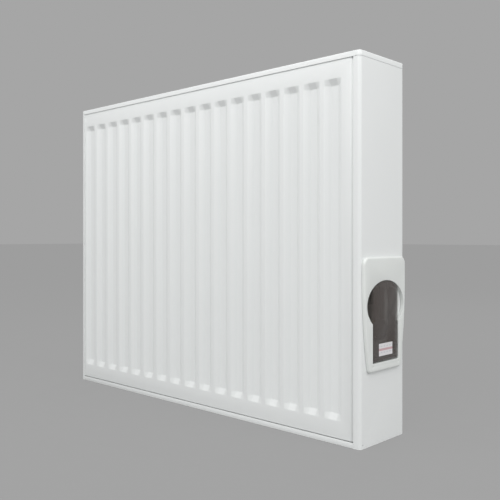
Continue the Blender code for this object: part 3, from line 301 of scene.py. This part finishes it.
def printed_label():
    film = Finish("label film", Roughness=0.32, Coat_Weight=0.2)
    parts = film.node("ShaderNodeSeparateXYZ", {}, {0: film.place})
    share = (parts.other("Z") - label_low.z) * (1.0 / (label_high.z - label_low.z))
    dash = film.math("SINE", parts.other("Y") * LABEL_DASH, 0.0).above(DASH_GAP)
    fade = film.noise(FADE_SCALE)
    colour = film.colours(fade, (0.80, 0.79, 0.80), (0.88, 0.87, 0.88))
    band = share.above(LABEL_BAND[0]) * share.below(LABEL_BAND[1])
    colour = film.colours(band * (fade * 0.3 + 0.45), colour, (0.50, 0.16, 0.20))
    for low, high in LABEL_ROWS:
        row = share.above(low) * share.below(high) * dash
        colour = film.colours(row * 0.35, colour, (0.33, 0.36, 0.46))
    film.set(Base_Color=colour)
    return film.material


label_film = printed_label()
print("made", label_film.name)

# %% [markdown]
# ## Metals and rubber
#
# Metal shows how it was worked. Galvanised steel has zinc crystals, which a cell texture gives.
# Turned brass and nickel-plated fittings have fine rings left by the tool, and spring steel has a
# drawn grain along its length. Primer is flat and a little speckled, and rubber is dull.

# %% Metals and rubber
CLOUD_HEIGHT = 0.0001
TOOL_MARK_SCALE = 900.0
TOOL_MARK_HEIGHT = 0.00005
TARNISH_SCALE = 45.0
SPECK_SCALE = 420.0
SPECK_HEIGHT = 0.0001


def galvanised():
    zinc = Finish("galvanised steel", Metallic=1.0)
    shade = zinc.crystals(160.0)
    cloud = zinc.noise(70.0, 4.0)
    zinc.set(Base_Color=zinc.colours(shade, (0.50, 0.52, 0.53), (0.66, 0.68, 0.69)))
    zinc.set(Roughness=shade * 0.16 + cloud * 0.12 + 0.30)
    zinc.bump(cloud, 0.12, CLOUD_HEIGHT)
    return zinc.material


def worked_metal(name, light, dark, roughness, grain):
    metal = Finish(name, Metallic=1.0)
    lines = metal.noise(TOOL_MARK_SCALE, 3.0, grain)
    tarnish = metal.noise(TARNISH_SCALE, 4.0)
    metal.set(Base_Color=metal.colours(tarnish, dark, light))
    metal.set(Roughness=lines * 0.14 + tarnish * 0.10 + roughness)
    metal.bump(lines, 0.10, TOOL_MARK_HEIGHT)
    return metal.material


def flat_coat(name, light, dark, roughness):
    coat = Finish(name)
    speck = coat.noise(SPECK_SCALE, 4.0)
    cloud = coat.noise(25.0, 3.0)
    coat.set(Base_Color=coat.colours(cloud, dark, light), Roughness=speck * 0.16 + roughness)
    coat.bump(speck, 0.20, SPECK_HEIGHT)
    return coat.material


zinc_steel = galvanised()
nickel_plate = worked_metal("nickel plate", (0.74, 0.73, 0.70), (0.62, 0.61, 0.58), 0.16, (0.06, 1, 1))
turned_brass = worked_metal("turned brass", (0.80, 0.63, 0.34), (0.66, 0.50, 0.25), 0.18, (1, 0.08, 1))
spring_steel = worked_metal("spring steel", (0.68, 0.68, 0.68), (0.52, 0.52, 0.53), 0.20, (0.05, 1, 1))
primer = flat_coat("grey primer", (0.66, 0.67, 0.67), (0.58, 0.59, 0.59), 0.45)
rubber = flat_coat("seal rubber", (0.035, 0.035, 0.035), (0.022, 0.022, 0.022), 0.60)
metals = (zinc_steel, nickel_plate, turned_brass, spring_steel, primer, rubber)
print("made", ", ".join(finish.name for finish in metals))

# %% [markdown]
# ## Modelling helpers
#
# Each new piece starts as a primitive at its size and place, and is shaped in edit mode. An
# operator acts on all that is selected, so these helpers first let go of everything, then pick
# faces and edges by where they are or which way they look.

# %% Select and edit in code
NEAR = 1e-5          # two places closer than this are the same
ALONG = 0.9          # an edge or a face normal counts as lying along an axis above this
OFF_MIDDLE = 0.01    # parts this far from a centre line belong to one side of it


def start_edit(piece):
    bpy.ops.object.select_all(action="DESELECT")
    piece.select_set(True)
    bpy.context.view_layer.objects.active = piece
    bpy.ops.object.mode_set(mode="EDIT")
    bpy.ops.mesh.select_all(action="DESELECT")


def end_edit():
    bpy.ops.object.mode_set(mode="OBJECT")


def pick(piece, wanted, what="FACE"):
    """In edit mode, selects just the faces or edges for which wanted(item) is true."""
    bpy.ops.mesh.select_mode(type=what)
    bpy.ops.mesh.select_all(action="DESELECT")
    shape = bmesh.from_edit_mesh(piece.data)
    for item in {"FACE": shape.faces, "EDGE": shape.edges, "VERT": shape.verts}[what]:
        item.select_set(bool(wanted(item)))
    shape.select_flush_mode()
    bmesh.update_edit_mesh(piece.data)


def middle(edge):
    return (edge.verts[0].co + edge.verts[1].co) / 2


def run(edge):
    return (edge.verts[1].co - edge.verts[0].co).normalized()


def block(name, low, high):
    """A cube primitive stretched between two corners, with its place in its mesh."""
    low, high = Vector(low), Vector(high)
    bpy.ops.object.select_all(action="DESELECT")
    bpy.ops.mesh.primitive_cube_add(size=1.0, location=(low + high) / 2)
    piece = bpy.context.active_object
    piece.name = piece.data.name = name
    piece.scale = high - low
    bpy.ops.object.transform_apply(location=True, rotation=True, scale=True)
    return piece


def round_bar(name, start, axis, length, radius, steps=48):
    """A cylinder primitive that grows from its start along an axis."""
    axis = Vector(axis)
    bpy.ops.object.select_all(action="DESELECT")
    bpy.ops.mesh.primitive_cylinder_add(vertices=steps, radius=radius, depth=length,
                                        location=Vector(start) + axis * length / 2,
                                        rotation=axis.to_track_quat("Z", "Y").to_euler())
    piece = bpy.context.active_object
    piece.name = piece.data.name = name
    bpy.ops.object.transform_apply(location=True, rotation=True, scale=True)
    return piece


def apply_modifier(piece, kind, **settings):
    step = piece.modifiers.new(kind.lower(), kind)
    for setting, value in settings.items():
        setattr(step, setting, value)
    bpy.ops.object.select_all(action="DESELECT")
    piece.select_set(True)
    bpy.context.view_layer.objects.active = piece
    bpy.ops.object.modifier_apply(modifier=step.name)


def cut_with(piece, cutter, operation="DIFFERENCE"):
    apply_modifier(piece, "BOOLEAN", operation=operation, object=cutter, solver="EXACT")
    bpy.data.objects.remove(cutter, do_unlink=True)


def soften(piece, width, segments=2, angle=30.0):
    """A small bevel on each edge sharper than an angle, then smooth shading."""
    apply_modifier(piece, "BEVEL", width=width, segments=segments, limit_method="ANGLE",
                   angle_limit=math.radians(angle), use_clamp_overlap=True)
    shade(piece)


def shade(piece, angle=40.0):
    bpy.ops.object.select_all(action="DESELECT")
    piece.select_set(True)
    bpy.context.view_layer.objects.active = piece
    bpy.ops.object.shade_smooth_by_angle(angle=math.radians(angle))


def dress(piece, finish, slot, body, *nodes):
    """Gives a piece its finish and the body it rides on, and hides the nodes it stands for. The slot is not
    used.
    """
    piece.data.materials.clear()
    piece.data.materials.append(finish)
    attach(piece, body)
    if nodes:
        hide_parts(*nodes)
    assert piece.data.polygons, piece.name + " has no faces"
    print(f"{piece.name}: {len(piece.data.polygons)} faces")
    return piece


print("modelling helpers ready")

# %% [markdown]
# ## Softened copies
#
# Most fittings already have the right shape, but an edge that is perfectly sharp catches no light.
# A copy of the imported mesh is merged, its flat faces are joined, and a bevel of about a tenth to
# half a millimetre is put on its edges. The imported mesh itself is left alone, since the physics
# use it.

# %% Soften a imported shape
body_of = {}
for body, nodes in frame["record"]["behaviour"]["bodies"].items():
    for node in nodes:
        body_of[node] = body
slot_of = {entry["node"]: entry["material_slot"] for entry in frame["record"]["subparts"]}
MERGE = 0.00002
FLAT_WITHIN = math.radians(1.0)


def merged_copy(name, node):
    piece = bpy.data.objects.new(name, frame["nodes"][node].data.copy())
    piece.data.name = name
    bpy.context.scene.collection.objects.link(piece)
    start_edit(piece)
    bpy.ops.mesh.select_all(action="SELECT")
    bpy.ops.mesh.remove_doubles(threshold=MERGE)
    bpy.ops.mesh.dissolve_limited(angle_limit=FLAT_WITHIN)
    end_edit()
    return piece


def softened(node, finish, width, segments=2):
    piece = merged_copy(f"soft_{node}", node)
    soften(piece, width, segments)
    return dress(piece, finish, slot_of[node], body_of[node], node)


print("nodes with a body:", len(body_of), "bodies:", sorted(set(body_of.values())))

# %% [markdown]
# ## The pressed panels
#
# A panel's outer sheet is one steel sheet, pressed over a die into upright water channels, and
# welded to a flatter one round its edge. The press can't make a sharp corner, so every shoulder is
# a soft curve. It could be a displaced grid, but a cut plane keeps long clean faces: the plane is
# bisected where each slope starts and ends, the groove floors and the welded edge are moved back,
# and one bevel rounds all the shoulders before the sheet gets its thickness. Beside the right side
# panel's lip the sheet steps back a little, which leaves the upright seam that shows there.

# %% Sizes of the pressing
PITCH = 0.100 / 3
GROOVES = 17
GROOVE_OPENING = 0.0260
GROOVE_FLOOR = 0.0105
GROOVE_DEPTH = 0.0056
GROOVE_END = 0.0080
GROOVE_HEADER = 0.0303
GROOVES_OFFSET = -0.0085
SEAM_WIDTH = 0.0030
SEAM_SLOPE = 0.0022
TOP_SEAM = 0.0016
EDGE_DROP = 0.0024
EDGE_RUN = 0.0030
EDGE_CLEAR = 0.0012
SHEET = 0.0012
SHOULDER = 0.0020
SHOULDER_STEPS = 4
PRESS_FLAT = math.radians(0.5)
PRESS_BEND = math.radians(8)

panel_low, panel_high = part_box("front_panel_outer_sheet")
case_low, case_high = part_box("top_grille")
groove_mid = (panel_low.x + panel_high.x) / 2
lip_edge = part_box("bottom_cover")[1].x
first_groove = groove_mid + GROOVES_OFFSET - PITCH * (GROOVES - 1) / 2
groove_places = [first_groove + PITCH * index for index in range(GROOVES)]
print("grooves from", round(groove_places[0], 4), "to", round(groove_places[-1], 4))


# %% Press a sheet
def pressed_panel(name, node, way):
    """way is -1 for the sheet that faces the room and 1 for the one that faces the wall."""
    low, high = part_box(node)
    face = low.y if way < 0 else high.y
    bpy.ops.object.select_all(action="DESELECT")
    centre = ((low.x + high.x) / 2, face, (low.z + high.z) / 2)
    bpy.ops.mesh.primitive_plane_add(size=1.0, location=centre, rotation=(math.pi / 2, 0, 0))
    panel = bpy.context.active_object
    panel.name = panel.data.name = name
    panel.scale = (high.x - low.x, high.z - low.z, 1.0)
    bpy.ops.object.transform_apply(location=True, rotation=True, scale=True)

    seam = SEAM_WIDTH + SEAM_SLOPE
    edge = lip_edge - EDGE_CLEAR
    across = [low.x + SEAM_WIDTH, low.x + seam, high.x - seam, high.x - SEAM_WIDTH,
              edge, edge - EDGE_RUN]
    for x in groove_places:
        across += [x - GROOVE_OPENING / 2, x - GROOVE_FLOOR / 2,
                   x + GROOVE_FLOOR / 2, x + GROOVE_OPENING / 2]
    bottom, top = GROOVE_HEADER, case_high.z - GROOVE_HEADER
    up = [low.z + SEAM_WIDTH, low.z + seam, bottom, bottom + GROOVE_END]
    up += [top - GROOVE_END, top, high.z - 2 * TOP_SEAM, high.z - TOP_SEAM]

    start_edit(panel)
    for axis, places in (((1, 0, 0), across), ((0, 0, 1), up)):
        for place in places:
            bpy.ops.mesh.select_all(action="SELECT")
            bpy.ops.mesh.bisect(plane_co=Vector(axis) * place, plane_no=axis)

    def in_groove(vertex):
        near = min(abs(vertex.co.x - x) for x in groove_places)
        above = vertex.co.z > bottom + GROOVE_END - NEAR
        return near < GROOVE_FLOOR / 2 + NEAR and above and vertex.co.z < top - GROOVE_END + NEAR

    def in_seam(vertex):
        inside_x = low.x + SEAM_WIDTH + NEAR < vertex.co.x < high.x - SEAM_WIDTH - NEAR
        inside_z = low.z + SEAM_WIDTH + NEAR < vertex.co.z < high.z - TOP_SEAM - NEAR
        return not (inside_x and inside_z)

    pick(panel, lambda vertex: in_groove(vertex) or in_seam(vertex), "VERT")
    bpy.ops.transform.translate(value=(0, -way * GROOVE_DEPTH, 0))
    pick(panel, lambda vertex: vertex.co.x > edge - NEAR and not in_seam(vertex), "VERT")
    bpy.ops.transform.translate(value=(0, -way * EDGE_DROP, 0))
    bpy.ops.mesh.select_all(action="SELECT")
    bpy.ops.mesh.dissolve_limited(angle_limit=PRESS_FLAT)
    if way > 0:
        bpy.ops.mesh.select_all(action="SELECT")
        bpy.ops.mesh.flip_normals()
    end_edit()
    apply_modifier(panel, "BEVEL", width=SHOULDER, segments=SHOULDER_STEPS, limit_method="ANGLE",
                   angle_limit=PRESS_BEND, use_clamp_overlap=True)
    apply_modifier(panel, "SOLIDIFY", thickness=SHEET, offset=-1.0)
    shade(panel, 50)
    return dress(panel, white_enamel, "white_steel", "radiator", node)


pressed_panel("front_pressed_panel", "front_panel_outer_sheet", -1)
pressed_panel("rear_pressed_panel", "rear_panel_outer_sheet", 1)

# %% [markdown]
# ## The slotted top
#
# The top cap is a shallow steel tray turned over, with a lip all round and slots that let the warm
# air out. A tray could be a box with its floor left out. Its corners are bevelled to follow the
# side panels, the slots are rounded blocks cut from it, and the sheet is thin, as folded steel is.

# %% Top grille
CASING_SHEET = 0.0010
SLOT_PITCH = PITCH / 2
SLOT_WIDTH = 0.0085
SLOT_LENGTH = 0.0370
SLOT_RIB = 0.0100
FRONT_CORNER = 0.0050
BACK_CORNER = 0.0020
CORNER_STEPS = 8
TOP_EDGE = 0.0010
SLOT_CORNER = 0.0020
CUT_REACH = 0.0040
depth_mid = (case_low.y + case_high.y) / 2


def tray(name, low, high, corners):
    """An open-bottomed box with round upright corners and a softened rim."""
    piece = block(name, low, high)
    start_edit(piece)
    pick(piece, lambda face: face.normal.z < -0.5)
    bpy.ops.mesh.delete(type="FACE")
    for side, radius in corners:
        pick(piece, lambda edge: abs(run(edge).z) > ALONG
             and (middle(edge).y - depth_mid) * side > OFF_MIDDLE, "EDGE")
        bpy.ops.mesh.bevel(offset=radius, offset_type="OFFSET", segments=CORNER_STEPS, affect="EDGES")
    pick(piece, lambda edge: all(v.co.z > high[2] - NEAR for v in edge.verts), "EDGE")
    bpy.ops.mesh.bevel(offset=TOP_EDGE, offset_type="OFFSET", segments=3, affect="EDGES")
    end_edit()
    apply_modifier(piece, "SOLIDIFY", thickness=CASING_SHEET, offset=-1.0, use_even_offset=True)
    return piece


def slot_blocks(name, height, places):
    """Two rows of blocks with round upright corners, one model copied to each place and joined."""
    corner = Vector((SLOT_WIDTH / 2, SLOT_LENGTH / 2, CUT_REACH))
    centre = Vector((0, 0, height))
    first = block(name, centre - corner, centre + corner)
    start_edit(first)
    pick(first, lambda edge: abs(run(edge).z) > ALONG, "EDGE")
    bpy.ops.mesh.bevel(offset=SLOT_CORNER, offset_type="OFFSET", segments=4, affect="EDGES")
    end_edit()
    copies = []
    for x in places:
        for side in (-1, 1):
            copy = first.copy()
            copy.data = first.data.copy()
            place = (x, depth_mid + side * (SLOT_LENGTH + SLOT_RIB) / 2, 0)
            copy.data.transform(Matrix.Translation(place))
            bpy.context.scene.collection.objects.link(copy)
            copies.append(copy)
    bpy.data.objects.remove(first, do_unlink=True)
    bpy.ops.object.select_all(action="DESELECT")
    for copy in copies:
        copy.select_set(True)
    bpy.context.view_layer.objects.active = copies[0]
    bpy.ops.object.join()
    return copies[0]


grille = tray("slotted_top", case_low, case_high, ((-1, FRONT_CORNER), (1, BACK_CORNER)))
slot_count = 2 * GROOVES
first_slot = groove_mid - SLOT_PITCH * (slot_count - 1) / 2
slot_places = [first_slot + SLOT_PITCH * index for index in range(slot_count)]
cut_with(grille, slot_blocks("slots", case_high.z, slot_places))
shade(grille, 35)
dress(grille, white_enamel, "white_steel", "radiator", "top_grille")
print("slots:", 2 * slot_count)

# %% [markdown]
# ## The side panels
#
# Each end is closed by a folded panel. Its edges wrap round the corner with a soft bend, so that
# no raw edge faces the room. It is made like the top, from a box that loses the faces the real one
# doesn't have. The left panel has two round holes for the vent and the plug. The right one, which
# follows below, has the cut-out behind the bezel and a small drain hole near its foot.

# %% Side panels
END_HOLE_RADIUS = 0.0140
END_HOLE_DEPTH = 0.0200


def side_panel(name, node, way):
    """way is 1 for the end with the valve and -1 for the other end."""
    low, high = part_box(node)
    piece = block(name, low, high)
    start_edit(piece)
    pick(piece, lambda face: abs(face.normal.z) > 0.5 or face.normal.x * way < -0.5)
    bpy.ops.mesh.delete(type="FACE")
    outer = high.x if way > 0 else low.x
    for side, radius in ((-1, FRONT_CORNER), (1, BACK_CORNER)):
        pick(piece, lambda edge: abs(middle(edge).x - outer) < NEAR and abs(run(edge).z) > ALONG
             and (middle(edge).y - depth_mid) * side > OFF_MIDDLE, "EDGE")
        bpy.ops.mesh.bevel(offset=radius, offset_type="OFFSET", segments=CORNER_STEPS, affect="EDGES")
    end_edit()
    apply_modifier(piece, "SOLIDIFY", thickness=CASING_SHEET, offset=-1.0, use_even_offset=True)
    return piece


left_panel = side_panel("left_side_panel", "side_panel_left", -1)
left_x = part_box("side_panel_left")[0].x
for gasket in ("vent_gasket", "plug_gasket"):
    low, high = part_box(gasket)
    start = (left_x - END_HOLE_DEPTH / 2, (low.y + high.y) / 2, (low.z + high.z) / 2)
    cut_with(left_panel, round_bar("hole", start, (1, 0, 0), END_HOLE_DEPTH, END_HOLE_RADIUS))
shade(left_panel, 35)
dress(left_panel, white_enamel, "white_steel", "radiator", "side_panel_left")

# %% [markdown]
# ## The keyhole
#
# The bezel, the recess and the flap share one outline: an oval with a slot that runs down from it.
# The bezel's opening and the cut-outs in the steel come from the same two shapes, a flattened
# cylinder and a block, so they stay in step. The steel is cut a little wider than the recess, both
# round the flap's door shape and round the finger scoops beside it.

# %% Sizes of the keyhole
bezel_low, bezel_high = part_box("bezel")
keyhole_y = (bezel_low.y + bezel_high.y) / 2
panel_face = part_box("side_panel_right")[1].x
OVAL_HALF = 0.0425
OVAL_FLAT = 0.064 / 0.085    # the oval's height over its width
OVAL_Z = 0.178
SLOT_HALF = 0.0300
SLOT_BOTTOM = 0.105
KEYHOLE_EASE = 1.045         # the opening's width over the flap's outline
TUB_WALL = 0.0016
CUT_GAP = 0.0003
SCOOP_INSET = 0.0045
SCOOP_HALF = OVAL_HALF - SCOOP_INSET + TUB_WALL + CUT_GAP
CUT_PAST = 0.0010
DRAIN_IN = 0.0062
DRAIN_UP = 0.0050
DRAIN_RADIUS = 0.0009
print("keyhole centre", round(keyhole_y, 5), "face of the panel", round(panel_face, 5))


# %% Oval and door shapes
def oval_bar(name, back, front, half):
    """A cylinder along X, squeezed upright into an oval."""
    bpy.ops.object.select_all(action="DESELECT")
    bpy.ops.mesh.primitive_cylinder_add(vertices=96, radius=half, depth=front - back,
                                        location=((back + front) / 2, 0, 0), rotation=(0, math.pi / 2, 0))
    piece = bpy.context.active_object
    piece.name = piece.data.name = name
    bpy.ops.object.transform_apply(location=True, rotation=True, scale=True)
    piece.scale = (1, 1, OVAL_FLAT)
    piece.location = (0, keyhole_y, OVAL_Z)
    bpy.ops.object.transform_apply(location=True, rotation=True, scale=True)
    return piece


def door_bar(name, back, front, grow):
    """The slot carried up under the oval's top: a block kept only where the oval covers its head."""
    half = OVAL_HALF + grow
    bottom = SLOT_BOTTOM - grow
    door = block(name, (back, keyhole_y - SLOT_HALF - grow, bottom),
                 (front, keyhole_y + SLOT_HALF + grow, OVAL_Z + half))
    back, front = back - CUT_PAST, front + CUT_PAST
    head = oval_bar("head", back, front, half)
    neck = block("neck", (back, keyhole_y - half, bottom - CUT_PAST), (front, keyhole_y + half, OVAL_Z))
    cut_with(head, neck, "UNION")
    cut_with(door, head, "INTERSECT")
    return door


def keyhole_bar(name, back, front):
    """The whole keyhole: the oval joined with the slot below it, eased wider so the flap is free."""
    piece = oval_bar(name, back, front, OVAL_HALF)
    slot = block("slot", (back, keyhole_y - SLOT_HALF, SLOT_BOTTOM), (front, keyhole_y + SLOT_HALF, OVAL_Z))
    cut_with(piece, slot, "UNION")
    start_edit(piece)
    bpy.ops.mesh.select_all(action="SELECT")
    bpy.ops.transform.resize(value=(1, KEYHOLE_EASE, 1), center_override=(0, keyhole_y, OVAL_Z))
    end_edit()
    return piece


right_panel = side_panel("right_side_panel", "side_panel_right", 1)
cut_from, cut_to = panel_face - CUT_REACH, panel_face + CUT_REACH
cut_with(right_panel, door_bar("door cut", cut_from, cut_to, TUB_WALL + CUT_GAP))
cut_with(right_panel, oval_bar("scoop cut", cut_from, cut_to, SCOOP_HALF))
drain_start = (cut_from, case_low.y + DRAIN_IN, DRAIN_UP)
cut_with(right_panel, round_bar("drain", drain_start, (1, 0, 0), 2 * CUT_REACH, DRAIN_RADIUS, 16))
shade(right_panel, 35)
dress(right_panel, white_enamel, "white_steel", "radiator", "side_panel_right")

# %% [markdown]
# ## The bezel
#
# The bezel is one moulding that hides the cut edge of the steel and frames the keyhole. Its sides
# run straight down and then draw in to a narrower foot, and its face has a soft raised rim. The
# blank is a block, bisected where the sides start to run in. The foot's edges are moved in and the
# corners are bevelled. Two shallow round marks go into the flat of the foot, clear of the rim's
# round: trial spheres that cut across that round left the Boolean modifier with an empty mesh,
# which is why dress() stops when a piece has no faces. The keyhole is cut after the marks, and a
# last small bevel rounds its rim.

# %% Bezel
BEZEL_RUN_IN = 0.0115
BEZEL_SHOULDER = 0.162
BEZEL_CORNER = 0.0100
BEZEL_FOOT_CORNER = 0.0040
BEZEL_TAPER_CORNER = 0.0400
CORNER_WITHIN = 0.0010
RIM_ROUND = 0.0024
RIM_SOFTEN = 0.0006
KEYHOLE_REACH = 0.0100
FOOT_MARK_RADIUS = 0.0013
FOOT_MARK_DEPTH = 0.0004
FOOT_MARK_UP = 0.0075
FOOT_MARK_IN = 0.0075


def make_bezel():
    bezel = block("valve_bezel", bezel_low, bezel_high)
    start_edit(bezel)
    bpy.ops.mesh.select_all(action="SELECT")
    bpy.ops.mesh.bisect(plane_co=(0, 0, BEZEL_SHOULDER), plane_no=(0, 0, 1))
    for side in (-1, 1):
        pick(bezel, lambda v: v.co.z < bezel_low.z + NEAR and (v.co.y - keyhole_y) * side > 0, "VERT")
        bpy.ops.transform.translate(value=(0, -side * BEZEL_RUN_IN, 0))

    def corner_at(edge, height):
        across = abs(middle(edge).y - keyhole_y)
        level = abs(middle(edge).z - height) < CORNER_WITHIN
        return abs(run(edge).x) > ALONG and level and across > 2 * OFF_MIDDLE

    for height, radius, segments in ((bezel_high.z, BEZEL_CORNER, 12), (bezel_low.z, BEZEL_FOOT_CORNER, 6),
                                     (BEZEL_SHOULDER, BEZEL_TAPER_CORNER, 12)):
        pick(bezel, lambda edge: corner_at(edge, height), "EDGE")
        bpy.ops.mesh.bevel(offset=radius, offset_type="OFFSET", segments=segments, affect="EDGES",
                           clamp_overlap=True)
    pick(bezel, lambda edge: all(v.co.x > bezel_high.x - NEAR for v in edge.verts)
         and sum(1 for face in edge.link_faces if face.normal.x > ALONG) == 1, "EDGE")
    bpy.ops.mesh.bevel(offset=RIM_ROUND, offset_type="OFFSET", segments=5, affect="EDGES")
    end_edit()
    foot_half = (bezel_high.y - bezel_low.y) / 2 - BEZEL_RUN_IN - FOOT_MARK_IN
    for side in (-1, 1):
        place = (bezel_high.x - FOOT_MARK_DEPTH, keyhole_y + side * foot_half, bezel_low.z + FOOT_MARK_UP)
        cut_with(bezel, round_bar("mark", place, (1, 0, 0), 4 * FOOT_MARK_DEPTH, FOOT_MARK_RADIUS, 24))
    cut_with(bezel, keyhole_bar("keyhole", bezel_low.x - KEYHOLE_REACH, bezel_high.x + KEYHOLE_REACH))
    apply_modifier(bezel, "BEVEL", width=RIM_SOFTEN, segments=3, limit_method="ANGLE",
                   angle_limit=math.radians(60))
    shade(bezel, 40)
    return dress(bezel, white_plastic, "white_plastic", "radiator", "bezel")


make_bezel()

# %% [markdown]
# ## Flap, recess and knob
#
# The flap, the tub behind it and the label keep the shapes they were packed with, softened. The
# knob gets one thing more: a slot across its dish, for a coin or a driver, cut with a small block
# before its edges are softened.

# %% Flap, recess and knob
KNOB_SLOT = (0.0030, 0.0110, 0.0018)
FINE_EDGE = 0.00025
FILM_EDGE = 0.00008
MOULDED_EDGE = 0.0004
LUG_EDGE = 0.0005
FOLDED_EDGE = 0.0003


def make_knob():
    low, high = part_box("valve_knob")
    centre = Vector((high.x, (low.y + high.y) / 2, (low.z + high.z) / 2))
    deep, long, wide = KNOB_SLOT
    corner = Vector((deep, long / 2, wide / 2))
    knob = merged_copy("valve_knob_slotted", "valve_knob")
    cut_with(knob, block("slot", centre - corner, centre + corner))
    soften(knob, FINE_EDGE)
    return dress(knob, grey_plastic, "grey_plastic", body_of["valve_knob"], "valve_knob")


softened("service_flap", smoked_plastic, FINE_EDGE, 1)
softened("flap_label", label_film, FILM_EDGE, 1)
softened("recess_housing", white_plastic, MOULDED_EDGE)
make_knob()

# %% [markdown]
# ## Fittings
#
# Connectors, pipes, nuts, plugs, lugs and brackets are turned, drawn or folded pieces. A loop gives
# each one its softened copy, with a rounder edge for folded sheet than for turned brass.

# %% Fittings
fitting_edges = {
    "primed_steel": (primer, 0.0005), "galvanised_steel": (zinc_steel, 0.0003),
    "nickel_plate": (nickel_plate, 0.0003), "brass": (turned_brass, 0.0002),
    "bright_steel": (spring_steel, 0.0001), "seal_rubber": (rubber, 0.0002),
}
coiled_or_hidden = ("valve_spring", "valve_spindle", "insert_o_ring")
for node, slot in slot_of.items():
    if slot in fitting_edges and node not in coiled_or_hidden:
        finish, width = fitting_edges[slot]
        softened(node, finish, width)
softened("vent_collar", white_plastic, MOULDED_EDGE)
softened("bottom_cover", white_enamel, FOLDED_EDGE)
for node in slot_of:
    if node.startswith("hanging_lug"):
        softened(node, white_enamel, LUG_EDGE)

# %% [markdown]
# ## Light, floor and background
#
# The room is a plain grey one. The floor is pale grey and catches the radiator's soft shadow. To
# keep the background even from edge to edge, the camera sees most of the floor and all of the
# world at one set grey, while the light that falls on the radiator comes from a pale world and
# from soft lamps: a large one on the room side, a strip above the front that makes the top brighter
# than the foot, two at the valve end, of which the small near one fades down the side panel, and a
# weak one behind.

# %% Floor, world and lamps
BACKDROP_COLOUR = (0.381, 0.381, 0.381, 1.0)
ROOM_LIGHT = 0.62
FLOOR_LIGHT, FLOOR_DARK = (0.37, 0.37, 0.37), (0.34, 0.34, 0.34)
FLOOR_GLOW = 0.95
FLOOR_SHARE = 0.84
FLOOR_SIZE = 40.0
FLOOR_DROP = 0.0005


def floor_finish():
    finish = Finish("pale floor", Roughness=0.9)
    grain = finish.noise(30.0, 4.0)
    finish.set(Base_Color=finish.colours(grain, FLOOR_DARK, FLOOR_LIGHT))
    paths = finish.node("ShaderNodeLightPath", {}, {}, "Is Camera Ray")
    seen = paths
    for kind in ("Is Glossy Ray", "Is Transmission Ray"):
        seen = finish.math("MAXIMUM", seen, paths.other(kind))
    glow = finish.node("ShaderNodeEmission", {}, {"Color": BACKDROP_COLOUR, "Strength": FLOOR_GLOW})
    lit = Value(finish, finish.shader.outputs[0])
    mix = finish.node("ShaderNodeMixShader", {}, {0: seen * FLOOR_SHARE, 1: lit, 2: glow})
    finish.links.new(mix.socket, finish.nodes["Material Output"].inputs["Surface"])
    return finish.material


bpy.ops.object.select_all(action="DESELECT")
bpy.ops.mesh.primitive_plane_add(size=FLOOR_SIZE, location=(0, 0, -FLOOR_DROP))
floor = bpy.context.active_object
floor.name = "floor"
floor.data.materials.append(floor_finish())


def make_world():
    world = bpy.data.worlds.new("soft room")
    bpy.context.scene.world = world
    world.use_nodes = True
    nodes, links = world.node_tree.nodes, world.node_tree.links
    room = nodes["Background"]
    room.inputs["Color"].default_value = (1.0, 1.0, 1.0, 1.0)
    room.inputs["Strength"].default_value = ROOM_LIGHT
    seen = nodes.new("ShaderNodeBackground")
    seen.inputs["Color"].default_value = BACKDROP_COLOUR
    paths = nodes.new("ShaderNodeLightPath")
    mix = nodes.new("ShaderNodeMixShader")
    share = paths.outputs["Is Camera Ray"]
    for kind in ("Is Glossy Ray", "Is Transmission Ray"):
        either = nodes.new("ShaderNodeMath")
        either.operation = "MAXIMUM"
        links.new(share, either.inputs[0])
        links.new(paths.outputs[kind], either.inputs[1])
        share = either.outputs[0]
    links.new(share, mix.inputs[0])
    links.new(room.outputs[0], mix.inputs[1])
    links.new(seen.outputs[0], mix.inputs[2])
    links.new(mix.outputs[0], nodes["World Output"].inputs["Surface"])


def soft_lamp(name, place, target, width, height, power):
    light = bpy.data.lights.new(name, "AREA")
    light.shape = "RECTANGLE"
    light.size = width
    light.size_y = height
    light.energy = power
    lamp = bpy.data.objects.new(name, light)
    lamp.visible_camera = False
    lamp.location = place
    lamp.rotation_euler = (Vector(target) - Vector(place)).to_track_quat("-Z", "Y").to_euler()
    bpy.context.scene.collection.objects.link(lamp)


make_world()
soft_lamp("room side lamp", (0.9, -1.7, 1.4), (0, 0, 0.25), 1.2, 1.2, 9.8)
soft_lamp("top strip lamp", (0.05, -0.60, 1.05), (0.0, 0, 0.38), 1.5, 0.3, 3.6)
soft_lamp("valve end lamp", (1.7, 0.1, 1.3), (0.3, 0, 0.30), 1.0, 1.0, 6.5)
soft_lamp("valve top lamp", (0.95, 0.1, 1.05), (0.3, 0, 0.35), 0.4, 0.4, 0.8)
soft_lamp("back lamp", (-0.4, 1.6, 1.4), (0, 0, 0.25), 1.0, 1.0, 4.0)

# %% [markdown]
# ## Carried-over sub-parts
#
# The rest of the model keeps its shape and gets its finish here, chosen by the slot that the
# record gives each node.

# %% Finishes for the carried-over nodes
slot_finishes = {
    "white_steel": white_enamel, "primed_steel": primer, "galvanised_steel": zinc_steel,
    "bright_steel": spring_steel, "nickel_plate": nickel_plate, "brass": turned_brass,
    "white_plastic": white_plastic, "smoked_plastic": smoked_plastic, "grey_plastic": grey_plastic,
    "label_film": label_film, "seal_rubber": rubber,
}
for entry in frame["record"]["subparts"]:
    node = frame["nodes"][entry["node"]]
    node.data.materials.clear()
    node.data.materials.append(slot_finishes[entry["material_slot"]])
